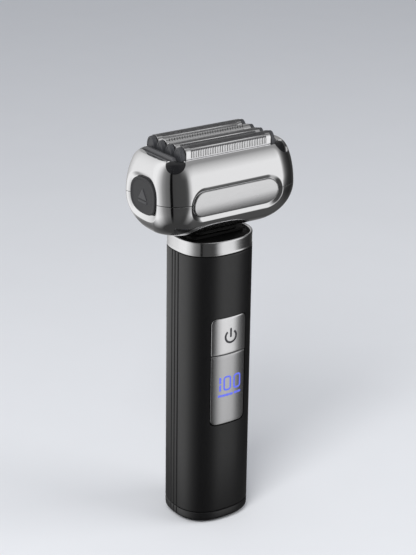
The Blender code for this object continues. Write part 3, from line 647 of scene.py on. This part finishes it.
def lower_skin():
    """The lower shell: its outside up to the seam, its inside down again, and the hole for the neck."""
    top = SEAM - SEAM_GAP / 2
    foot = HEAD_LOW + SHELL_WALL
    outside = [head_ring(z) for z in eased(HEAD_LOW, top - SEAM_RIM)] + [head_ring(top, SEAM_RIM)]
    inside = [head_ring(z, SHELL_WALL) for z in levels(top, HEAD_LOW + 2 * MM, 8)]
    inside.append(plain_ring(foot, 17 * MM, 6.6 * MM, 6 * MM))
    hole = [plain_ring(z, HOLE_X, HOLE_Y, HOLE_CORNER) for z in (foot, HEAD_LOW + 0.3 * MM)]
    hole.append(plain_ring(HEAD_LOW, HOLE_X + 0.2 * MM, HOLE_Y + 0.2 * MM, HOLE_CORNER + 0.2 * MM))
    hole.append(plain_ring(HEAD_LOW, 20.5 * MM, 6.7 * MM, 6.3 * MM))
    return make("lower_shell_skin", skin(outside + inside + hole, closed=True), "chrome")


def upper_skin():
    """The upper frame: its outside from the seam to the crest, the window's lip, and its inside."""
    foot = SEAM + SEAM_GAP / 2
    heights = eased(FRAME_TOP, foot + SEAM_RIM)[::-1]
    outside = [head_ring(foot, SEAM_RIM)] + [head_ring(z) for z in heights]
    lip = []
    for drop, x, y, corner in WINDOW_LIP:
        lip.append(plain_ring(FRAME_TOP - drop * MM, WINDOW_X + x * MM, WINDOW_Y + y * MM,
                              WINDOW_CORNER + corner * MM))
    least = (WINDOW_X + 0.2 * MM, WINDOW_Y + 0.2 * MM)
    inside = [head_ring(z, SHELL_WALL, least) for z in levels(FRAME_TOP - 1.5 * MM, foot, 8)]
    return make("upper_frame_skin", skin(outside + lip + inside, closed=True), "chrome")


def oval_outline(gap):
    """A function that gives the oval, drawn in by a gap and moved in by an inset."""
    return ring_inset(OVAL_HALF_X - gap, OVAL_HALF_Z - gap, (OVAL_HALF_Z - gap,) * 4, (0, EQUATOR),
                      arc=24, side_u=24, side_v=1)


def recess_cutters():
    """Cutters for the corner notches and for the recesses of the ovals and the release buttons."""
    cutters = [ellipsoid(f"notch_{k}", *place) for k, place in enumerate(NOTCHES)]
    chamfer = [(-RELEASE_GAP - flare, height) for flare, height in CHAMFER]
    for side in (-1, 1):
        cutters.append(flared_cutter(f"oval_cut_{side}", on_head_face(side), oval_outline(0), OVAL_RECESS,
                                     (0, side, 0)))
        cutters.append(flared_cutter(f"release_cut_{side}", on_head_end(side), release_outline, chamfer,
                                     (side, 0, 0)))
    return cutters


def make_shells():
    """The lower shell and the upper frame, with their seam, window, recesses and holes."""
    lower = lower_skin()
    upper = upper_skin()
    cutters = recess_cutters()
    for shell in (lower, upper):
        for cutter in cutters:
            cut(shell, cutter)
        smooth(shell, 28)
        true_normals(shell)
    for cutter in cutters:
        discard(cutter)
    settle(lower, "head", ["lower_shell"])
    settle(upper, "foil_frame", ["upper_frame"])


def make_ovals():
    for side, word in ((-1, "front"), (1, "rear")):
        piece = domed_plate(f"oval_{word}_satin", on_head_face(side), (0, EQUATOR), oval_outline(OVAL_GAP),
                            OVAL_FACE, "satin_oval", 12)
        settle(piece, "head", [f"oval_panel_{word}"])


def make_release_buttons():
    """The side buttons: a raised rim, a shallow field and a raised arrow over a bar."""
    arrow_middle = (0, RELEASE_Z + 0.3 * MM)
    bar_middle = (0, RELEASE_Z - 2.1 * MM)
    bar = ring_inset(ARROW_HALF, 0.45 * MM, (0.2 * MM,) * 4, bar_middle, arc=4, side_u=6, side_v=1)
    marks = (("arrow", arrow_middle, triangle_outline, 3), ("line", bar_middle, bar, 2))
    for side, word in ((-1, "left"), (1, "right")):
        place = on_head_end(side)
        button = domed_plate(f"release_{word}_pad", place, (0, RELEASE_Z), release_outline, RELEASE_FACE,
                             "release_grey", 8)
        settle(button, f"release_{word}", [f"release_button_{word}"])
        for kind, middle, outline, fills in marks:
            mark = domed_plate(f"release_{word}_{kind}", place, middle, outline, MARK_FACE,
                               "icon_release", fills)
            settle(mark, f"release_{word}", [])


def release_outline(inset):
    """The release button's outline, moved in by an inset."""
    power = 2 / RELEASE_POWER
    points = []
    for i in range(96):
        c, t = cos(tau * i / 96), sin(tau * i / 96)
        u = (RELEASE_Y - inset) * copysign(abs(c) ** power, c)
        v = (RELEASE_RISE - inset) * copysign(abs(t) ** power, t)
        points.append((u, RELEASE_Z + v))
    return points


def triangle_outline(inset):
    """The arrow's outline: an upright triangle with rounded corners, moved in by an inset."""
    base = RELEASE_Z - 1.1 * MM
    tips = [Vector((ARROW_HALF, base)), Vector((0, base + ARROW_RISE)), Vector((-ARROW_HALF, base))]
    centre = (tips[0] + tips[1] + tips[2]) / 3
    share = 1 - 2.2 * inset / ARROW_RISE
    corners = [centre + (tip - centre) * share for tip in tips]
    points = []
    for k, here in enumerate(corners):
        before, after = corners[k - 1], corners[(k + 1) % 3]
        start = here + (before - here).normalized() * ARROW_CORNER
        end = here + (after - here).normalized() * ARROW_CORNER
        finish = after + (here - after).normalized() * ARROW_CORNER
        for i in range(5):
            t = i / 4
            points.append(tuple(start * (1 - t) ** 2 + here * 2 * t * (1 - t) + end * t * t))
        points += [tuple(end.lerp(finish, i / 6)) for i in range(1, 6)]
    return points


# ---- handle pieces


def make_sleeve():
    """The sleeve with its opening for the panel."""
    body = sweep("sleeve_shell", SLEEVE, "soft_black")
    middle = (0, (PANEL_LOW + PANEL_HIGH) / 2)
    half = (PANEL_HIGH - PANEL_LOW) / 2
    corners = (KEY_CORNER + PANEL_GAP,) * 4
    opening = ring_inset(PANEL_HALF + PANEL_GAP, half + PANEL_GAP, corners, middle, arc=8)
    rings = [[(u, y, v) for u, v in opening(0)] for y in (-20 * MM, -8 * MM)]
    cutter = make("panel_cut", skin(rings), "soft_black")
    cut(body, cutter)
    discard(cutter)
    smooth(body, 35)
    settle(body, "handle", ["handle_sleeve"])


def make_deck():
    """The black floor inside the collar."""
    top = DECK[-1][1] * MM
    foot = DECK[0][1] * MM
    rings = [handle_ring(inset * MM, height * MM) for inset, height in DECK]
    rings += [[(x * 0.6, y * 0.25, height) for x, y in OUTLINE] for height in (top, foot)]
    settle(make("deck_plate", skin(rings, closed=True), "void_black"), "handle", ["top_deck"])


def make_handle():
    make_sleeve()
    settle(sweep("collar_band", COLLAR, "collar", 50), "handle", ["collar_ring"])
    settle(sweep("base_band", BASE, "soft_black"), "handle", ["base_ring"])
    make_deck()


def panel_plate(name, low, high, corners, steps, profile, look, fills):
    middle = (0, (low + high) / 2)
    outline = ring_inset(PANEL_HALF, (high - low) / 2, corners, middle, arc=8, side_u=20, side_v=steps)
    return domed_plate(name, on_handle, middle, outline, profile, look, fills)


def make_panel():
    """The power key and the display, both bowed to the handle's front."""
    half_seam = 0.1 * MM
    corners = (KEY_CORNER, KEY_CORNER, TIGHT_CORNER, TIGHT_CORNER)
    key = panel_plate("power_key", PANEL_SEAM + half_seam, PANEL_HIGH, corners, 14, KEY_FACE,
                      "satin_key", 10)
    settle(key, "power_button", ["power_button"])
    corners = (TIGHT_CORNER, TIGHT_CORNER, DISPLAY_CORNER, DISPLAY_CORNER)
    display = panel_plate("display_plate", PANEL_LOW, PANEL_SEAM - half_seam, corners, 24, DISPLAY_FACE,
                          "satin_panel", 12)
    settle(display, "handle", ["display_window"])
    make_power_icon()
    make_digits()


def arc_strip(centre, radius, stroke, start, end):
    """A function that gives a bent strip moved in by an inset."""
    steps = 40

    def outline(inset):
        outer, inner = radius + stroke / 2 - inset, radius - stroke / 2 + inset
        turn = inset / radius
        angles = [start + turn + (end - start - 2 * turn) * i / steps for i in range(steps + 1)]
        points = [(outer, angle) for angle in angles] + [(inner, angle) for angle in angles[::-1]]
        return [(centre[0] + r * cos(angle), centre[1] + r * sin(angle)) for r, angle in points]

    return outline


def strip_skin(rings):
    """A closed skin over rings that each go out along a strip and back, capped with quads."""
    bm = bmesh.new()
    rows = bridge(bm, rings)
    count = len(rows[0])
    for row in (rows[0], rows[-1]):
        for i in range(count // 2 - 1):
            bm.faces.new((row[i], row[i + 1], row[count - 2 - i], row[count - 1 - i]))
    bmesh.ops.recalc_face_normals(bm, faces=bm.faces[:])
    return bm


def make_power_icon():
    """An open ring with a bar in its gap."""
    gap = radians(38)
    ring = arc_strip(ICON_MIDDLE, 2.42 * MM, 0.85 * MM, pi / 2 + gap, pi / 2 + tau - gap)
    piece = make("power_icon_ring", strip_skin(mapped(on_handle, ring, ICON_FACE)), "icon")
    settle(piece, "power_button", [])
    middle = (ICON_MIDDLE[0], ICON_MIDDLE[1] + 1.5 * MM)
    outline = ring_inset(0.42 * MM, 1.9 * MM, (0.35 * MM,) * 4, middle, arc=5, side_u=1, side_v=6)
    bar = domed_plate("power_icon_bar", on_handle, middle, outline, ICON_FACE, "icon", 1)
    settle(bar, "power_button", [])


def make_digits():
    """The lit number on the display, with a level bar below it."""
    for number, (u, v, half_u, half_v) in enumerate(LIGHT_BARS):
        middle = (u * MM, v * MM)
        outline = ring_inset(half_u * MM, half_v * MM, (0.12 * MM,) * 4, middle, arc=3, side_u=5, side_v=4)
        light = domed_plate(f"light_bar_{number}", on_handle, middle, outline, LIGHT_FACE, "led", 1)
        settle(light, "handle", ["display_module"] if number == 0 else [])
    for number, u in enumerate(LIGHT_ZEROS):
        middle = (u * MM, 58.95 * MM)
        outer = ring_inset(1.78 * MM, 3.05 * MM, (1.3 * MM,) * 4, middle, arc=8, side_u=3, side_v=8)
        rings = mapped(on_handle, outer, LIGHT_FACE + LIGHT_INSIDE)
        light = make(f"light_zero_{number}", skin(rings, closed=True), "led")
        settle(light, "handle", [])


# ---- rows


def arch(half, low, shoulder, top, steps):
    """(across, height) points up one leg, over the crown and down the other leg."""
    angles = [pi - pi * i / steps for i in range(steps + 1)]
    crown = [(half * cos(angle), shoulder + (top - shoulder) * sin(angle)) for angle in angles]
    return [(-half, low)] + crown + [(half, low)]


def arch_path(half, low, shoulder, top):
    """An arch with evenly spaced points."""
    across, height = np.array(arch(half, low, shoulder, top, 400)).T
    run = run_along(across, height)
    at = np.linspace(0, run[-1], round(run[-1] / PATH_STEP) + 1)
    return list(zip(np.interp(at, run, across), np.interp(at, run, height)))


def sheet_cell(kind, i, j, across, height):
    """A sheet cell's look (0 bright steel, 1 darker steel painted in as the shade of the fine perforations)
    and its opening's half-sizes as shares of the cell, or None.

    across runs from -1 to 1 over the arch, and an opening 0.5 high runs on into the next cell.
    """
    if kind == "foil":
        side = abs(across)
        if side > 0.93:
            return 0, (0.34, 0.5) if i % 2 == 0 and 150.0 * MM < height < 152.2 * MM else None
        if side > 0.84:
            return 1, (0.3, 0.5) if i % 2 == 0 else None
        if side > 0.66:
            return 0, None
        return 1, (0.34, 0.34)
    if kind == "slanted":
        if -0.95 < across < 0.25:
            return 0, (0.42, 0.5) if i % 3 == 0 and -0.8 < across < 0.1 else None
        return 1, (0.3, 0.36) if (i + j) % 2 else None
    side = abs(across)
    if side > 0.8:
        return 1, (0.36, 0.5) if i % 2 == 0 and side < 0.97 else None
    if side > 0.52:
        return 0, (0.3, 0.5) if i % 2 == 0 and side > 0.7 else None
    return 1, (0.3, 0.36) if (i + j) % 2 else None


def perforated(name, y, kind, half, low, shoulder, top, slant):
    """A thin arched sheet with real holes, drawn on a lattice of small cells, whose perforated bands take a
    darker steel as painted shade.
    """
    path = arch_path(half, low, shoulder, top)
    columns = round(2 * ROW_LENGTH / CELL)
    rows = len(path) - 1
    bm = bmesh.new()
    grid = []
    for j, (across, height) in enumerate(path):
        line = []
        for i in range(columns + 1):
            x = -ROW_LENGTH + 2 * ROW_LENGTH * i / columns
            inside = ramp(min(i, columns - i), 2, 6)
            line.append(bm.verts.new((x + slant * (across / half) * inside, y + across, height)))
        grid.append(line)
    for j in range(rows):
        across = (path[j][0] + path[j + 1][0]) / 2 / half
        height = (path[j][1] + path[j + 1][1]) / 2
        for i in range(columns):
            corners = (grid[j][i], grid[j][i + 1], grid[j + 1][i + 1], grid[j + 1][i])
            look, hole = sheet_cell(kind, i, j, across, height)
            if not PLAIN_END <= i < columns - PLAIN_END:
                hole = None
                # Plain end cells keep the bright steel on the flanks and the painted shade on the crown.
                look = 0 if abs(across) > 0.6 else look
            add_cell(bm, corners, hole, look)
    bmesh.ops.remove_doubles(bm, verts=bm.verts[:], dist=1e-7)
    sheet = make(name, bm, "foil", 50)
    # The second slot is the darker steel, painted shade on the perforated cells.
    sheet.data.materials.append(LOOKS["foil_shade"])
    modifier = sheet.modifiers.new("thick", "SOLIDIFY")
    modifier.thickness = SHEET_THICK
    modifier.offset = -1
    apply_modifiers(sheet)
    return sheet


def add_cell(bm, corners, hole, look):
    """One lattice cell: plain, split by a slot that runs on into its neighbours, or with a hole."""
    loops = [corners]
    if hole:
        a, b, c, d = (corner.co for corner in corners)
        middle, along, over = (a + b + c + d) / 4, (b + c - a - d) / 2, (c + d - a - b) / 2
        inner = [bm.verts.new(middle + along * side_u * hole[0] + over * side_v * hole[1])
                 for side_u, side_v in ((-1, -1), (1, -1), (1, 1), (-1, 1))]
        loops = [(corners[k], corners[m], inner[m], inner[k]) for k, m in ((3, 0), (1, 2), (0, 1), (2, 3))]
    if hole and hole[1] == 0.5:
        loops = loops[:2]
    for loop in loops:
        bm.faces.new(loop).material_index = look


def ridge(name, y, z, half, radius):
    """A straight rounded bead along X."""
    ends = [(-half, 0.2), (-half + 0.05 * MM, 0.8), (-half + 0.12 * MM, 1), (half - 0.12 * MM, 1),
            (half - 0.05 * MM, 0.8), (half, 0.2)]
    rings = []
    for x, share in ends:
        rings.append([(x, y + radius * share * cos(tau * i / 8), z + radius * share * sin(tau * i / 8))
                      for i in range(8)])
    return make(name, skin(rings), "foil")


def holder_end(bm, side, y, half, low, shoulder, top, inner, outer):
    """One rounded end block of a holder: an arch with a stepped rim and bevelled outer edge."""

    def ring(x, inset):
        points = arch(half - inset, low, shoulder, top - inset, 20)
        return [(x, y + across, height) for across, height in points]

    depth = (outer - inner) / MM
    shape = [(0, 0.05), (0.08, 0), (0.45, 0), (0.52, 0.12), (depth - 0.35, 0.12), (depth - 0.16, 0.2),
             (depth - 0.04, 0.4), (depth, 0.65), (depth, 0.9), (depth - 0.12, 1.05), (depth - 0.12, 1.3)]
    rows = bridge(bm, [ring(side * (inner + x * MM), inset * MM) for x, inset in shape])
    bm.faces.new(rows[0])
    bm.faces.new(rows[-1])


def block(bm, low, high):
    """A closed box in a bmesh."""
    corners = ((low[0], low[1]), (high[0], low[1]), (high[0], high[1]), (low[0], high[1]))
    rows = bridge(bm, [[(x, y, z) for x, y in corners] for z in (low[2], high[2])])
    bm.faces.new(rows[0])
    bm.faces.new(rows[1])


def make_beads(name, kind, y, half, shoulder, top):
    """The bright beads where a sheet's crown meets its flanks."""
    share = 0.76 if kind == "foil" else 0.66
    rise = (top - shoulder) * (1 - share**2) ** 0.5
    sink = 0.02 * MM
    for side, word in ((-1, "front"), (1, "rear")):
        if kind == "slanted" and side < 0:
            continue
        bead = ridge(f"{name}_bead_{word}", y + side * (half * share - sink), shoulder + rise - sink,
                     ROW_LENGTH - 0.1 * MM, 0.22 * MM)
        settle(bead, f"{name}_unit", [])


def make_cradle(name, y):
    """A row's holder: an end block at each end and a rail along each side."""
    bm = bmesh.new()
    low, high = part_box(f"{name}_holder")
    half = (high.y - low.y) / 2
    for side in (-1, 1):
        holder_end(bm, side, y, half, low.z, 149.7 * MM, high.z, ROW_LENGTH + 0.12 * MM, high.x)
    for side in (-1, 1):
        near = y + side * (half - 0.02 * MM)
        far = y + side * (half - 0.72 * MM)
        block(bm, (-ROW_LENGTH - 0.2 * MM, min(near, far), low.z),
              (ROW_LENGTH + 0.2 * MM, max(near, far), low.z + 1.8 * MM))
    bmesh.ops.recalc_face_normals(bm, faces=bm.faces[:])
    settle(make(f"{name}_cradle", bm, "end_grey", 30), f"{name}_unit", [f"{name}_holder"])


def make_rows():
    """The perforated sheet, beads and holder of each row."""
    for name in ROWS:
        low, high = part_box(name)
        y = (low.y + high.y) / 2
        half = (high.y - low.y) / 2
        foil = name.endswith("foil")
        shoulder = (151.6 if foil else 152.2) * MM
        kind = "foil" if foil else "slanted" if name == "rear_trimmer" else "trimmer"
        slant = 1.1 * MM if kind == "slanted" else 0.0
        sheet = perforated(f"{name}_sheet", y, kind, half, low.z, shoulder, high.z, slant)
        settle(sheet, f"{name}_unit", [name])
        make_beads(name, kind, y, half, shoulder, high.z)
        make_cradle(name, y)


def coil_rings(low, high):
    """Rings round the wire of a coil that fills the box from low to high."""
    middle = (low + high) / 2
    radius = (high.x - low.x) / 2 - SPRING_WIRE
    foot, head = low.z + SPRING_WIRE, high.z - SPRING_WIRE
    count = round(SPRING_TURNS * 24)
    up = Vector((0, 0, 1))
    rings = []
    for i in range(count + 1):
        angle = tau * SPRING_TURNS * i / count
        out = Vector((cos(angle), sin(angle), 0))
        centre = Vector((middle.x, middle.y, foot + (head - foot) * i / count)) + out * radius
        turns = [tau * k / 8 for k in range(8)]
        rings.append([centre + (out * cos(turn) + up * sin(turn)) * SPRING_WIRE for turn in turns])
    return rings


def make_springs():
    """The coil under each blade. It stands on the bridge."""
    for name in ROWS:
        low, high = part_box(f"{name}_spring")
        coil = make(f"{name}_coil", skin(coil_rings(low, high)), "spring")
        settle(coil, "drive_bridge", [f"{name}_spring"])
        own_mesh(coil)


def make_carrier():
    """The dark frame that fills the window between the rows' ends and the chrome crest."""
    low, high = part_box("cassette_carrier")
    foot = low.z / MM
    rings = []
    for inset, height in ((0.3, foot), (0, foot + 0.3), (0, 140.2), (0.3, 140.4)):
        rings.append(plain_ring(height * MM, high.x - inset * MM, high.y - inset * MM, 4 * MM))
    for inset, height in ((0.0, 140.4), (-0.3, 140.1), (-0.3, foot + 0.2)):
        rings.append(plain_ring(height * MM, (19.3 - inset) * MM, (11.1 - inset) * MM, 1.5 * MM))
    piece = make("carrier_frame", skin(rings, closed=True), "gloss_black")
    settle(piece, "foil_frame", ["cassette_carrier"])
    make_ledges()


def make_ledges():
    """The ledge beyond each end of the rows, grey as painted light on the black carrier's lit top, from
    (inset, height, narrowing) steps in mm.
    """
    steps = ((0.9, 140.0, 0), (0, 140.6, 0), (0, 147.4, 0), (0.6, 148.6, 0), (1.2, 149.5, 0),
             (1.4, 149.9, 0.1), (1.7, 150.25, 0.25), (2.1, 150.4, 0.5))
    for side, word in ((-1, "left"), (1, "right")):
        rings = []
        for inset, height, narrow in steps:
            ring = rounded_ring((0.95 - narrow) * MM, (10.4 - inset) * MM, (0.4 * MM,) * 4, 6, 2, 16)
            rings.append([(side * 22.35 * MM + u, v, height * MM) for u, v in ring])
        # The grey of the ledge is painted light on the carrier's top.
        end = make(f"carrier_{word}_end", skin(rings), "ledge")
        settle(end, "foil_frame", [])


# ---- nodes that keep their CAD shape

KEPT = {
    "inner_black": ("chassis", "motor_bracket", "motor_end_cap", "base_cap", "head_floor"),
    "void_black": ("neck_post", "neck_boot", "deck_seal"),
    "gloss_black": ("neck_screw_left", "neck_screw_right"),
    "inner_grey": ("drive_bridge",),
    "turned": ("motor_can", "motor_shaft", "eccentric_cam", "guide_rod_front", "guide_rod_rear",
               "tilt_pin_left", "tilt_pin_right", "usb_port"),
    "blade": ("front_foil_blade", "front_trimmer_blade", "rear_trimmer_blade", "rear_foil_blade"),
    "spring": ("release_spring_left", "release_spring_right"),
    "rubber": ("base_seal",),
    "board": ("main_board", "charge_board"),
    "black": ("tact_switch", "motor_lead_black"),
    "battery": ("battery_cell",),
    "nickel": ("battery_tab_bottom", "battery_tab_top"),
    "red": ("motor_lead_red",),
}


def dress_kept():
    for look, names in KEPT.items():
        for name in names:
            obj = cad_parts[name]
            for slot in obj.material_slots:
                slot.material = LOOKS[look]


# ---- stage, light and camera

# Brightness of the surroundings by azimuth from -Y towards +X, as the polished pieces mirror them.
PANORAMA = (
    (-180, 0.55), (-165, 0.70), (-150, 0.80), (-130, 0.95), (-110, 0.95), (-95, 0.75), (-88, 0.60),
    (-75, 0.30), (-62, 0.17), (-54, 0.14), (-49.5, 0.11), (-48, 0.004), (-41, 0.004), (-39.5, 0.05),
    (-30, 0.055), (-5, 0.06), (0, 0.07), (5, 0.12), (10, 0.36), (16, 0.62), (22, 0.84), (38, 0.88),
    (41, 0.58), (44.5, 0.34), (50, 0.15), (56, 0.08), (62, 0.045), (70, 0.03), (90, 0.02), (115, 0.05),
    (130, 0.15), (150, 0.40), (180, 0.55),
)
TENT_LOW = 0.045
TENT_HIGH = 0.45


def surroundings(azimuth, elevation):
    """Brightness of the light tent in a direction, in degrees.

    The bright front band widens above the horizon. The front and the back are dimmer low down, and the tent
    is even towards its top and its foot.
    """
    turn = azimuth
    if 38 < azimuth < 90:
        turn -= min(azimuth - 38, 13 * ramp(elevation, -19, -5))
    level = float(np.interp(turn, [stop[0] for stop in PANORAMA], [stop[1] for stop in PANORAMA]))
    behind = ramp(abs(azimuth), 120, 160)
    level = mix(level, 0.14, behind * ramp(-elevation, 32, 38))
    front = ramp(azimuth, -15, 8) * (1 - ramp(azimuth, 100, 125))
    level = mix(level, 0.30, front * ramp(elevation, 18, 43))
    below = mix(level * 0.4, 0.12, ramp(azimuth, 34, 44))
    level = mix(level, below, front * ramp(-elevation, 26, 61))
    level = mix(level, TENT_LOW, ramp(-elevation, 40, 70))
    return mix(level, TENT_HIGH, ramp(elevation, 55, 75))


def tent_mesh():
    """A dome whose vertices carry the brightness of the surroundings."""
    across, up = 720, 120
    rings = []
    values = []
    for elevation in levels(-89.5, 89.5, up + 1):
        flat, rise = TENT_RADIUS * cos(radians(elevation)), TENT_RADIUS * sin(radians(elevation))
        ring = []
        for i in range(across):
            azimuth = -180 + 360 * i / across
            turn = radians(azimuth)
            ring.append(TENT_MIDDLE + Vector((flat * sin(turn), -flat * cos(turn), rise)))
            values += [surroundings(azimuth, elevation)] * 3 + [1]
        rings.append(ring)
    bm = bmesh.new()
    bridge(bm, rings)
    mesh = bpy.data.meshes.new("light_tent")
    bm.to_mesh(mesh)
    bm.free()
    tones = mesh.color_attributes.new("tone", "FLOAT_COLOR", "POINT")
    tones.data.foreach_set("color", values)
    return mesh


def tent_glow():
    """A material that gives out the brightness that the vertices carry."""
    material = bpy.data.materials.new("tent_glow")
    material.use_nodes = True
    tree = material.node_tree
    tree.nodes.clear()
    tone = add_node(tree, "VertexColor", {})
    tone.layer_name = "tone"
    glow = add_node(tree, "Emission", {"Color": tone.outputs["Color"]})
    add_node(tree, "OutputMaterial", {"Surface": glow.outputs["Emission"]})
    return material


def make_tent():
    """A dome that only reflections see, so that polished pieces mirror soft boxes and dark gaps."""
    tent = add("light_tent", tent_mesh())
    tent.data.materials.append(tent_glow())
    tent.visible_camera = tent.visible_diffuse = tent.visible_shadow = False
    tent.visible_transmission = tent.visible_volume_scatter = False


def area_light(name, place, size, power):
    """A square lamp that faces the middle of the object and that mirrors don't see."""
    light = bpy.data.lights.new(name, "AREA")
    light.shape = "SQUARE"
    light.size = size
    light.energy = power
    obj = add(name, light)
    obj.location = place
    obj.rotation_euler = (Vector(LIGHT_TARGET) - Vector(place)).to_track_quat("-Z", "Y").to_euler()
    obj.visible_glossy = False


def make_floor():
    rings = []
    for radius in (0.002, 0.3, 1.2, 5):
        rings.append([(radius * cos(tau * i / 48), radius * sin(tau * i / 48), 0) for i in range(48)])
    floor = make("studio_floor", skin(rings, caps=(True, False)), "floor")
    floor.visible_glossy = False


def make_camera():
    azimuth, elevation, roll = radians(CAMERA_AZIMUTH), radians(CAMERA_ELEVATION), radians(CAMERA_ROLL)
    back = Vector((cos(elevation) * sin(azimuth), -cos(elevation) * cos(azimuth), sin(elevation)))
    level = Vector((cos(azimuth), sin(azimuth), 0))
    right = level * cos(roll) + back.cross(level) * sin(roll)
    up = back.cross(right)
    data = bpy.data.cameras.new("camera")
    data.sensor_width = SENSOR_WIDTH
    data.lens = CAMERA_LENS
    data.clip_start = 0.01
    data.clip_end = 20
    camera = add("camera", data)
    place = Vector(CAMERA_TARGET) + back * CAMERA_DISTANCE
    camera.matrix_world = Matrix.Translation(place) @ Matrix((right, up, back)).transposed().to_4x4()
    bpy.context.scene.camera = camera


def make_light():
    world = bpy.data.worlds.new("studio")
    world.use_nodes = True
    ground = world.node_tree.nodes["Background"]
    ground.inputs["Color"].default_value = (0.9, 0.93, 1.0, 1)
    ground.inputs["Strength"].default_value = 0.4
    bpy.context.scene.world = world
    area_light("key", (-0.7, -0.5, 0.9), 0.6, 11)
    area_light("fill", (0.8, -0.7, 0.6), 0.8, 6)
    bpy.context.scene.view_settings.view_transform = "Standard"


make_handle()
make_panel()
make_shells()
make_ovals()
make_release_buttons()
make_carrier()
make_corner_inserts()
make_rows()
make_springs()
dress_kept()
make_floor()
make_tent()
make_light()
make_camera()
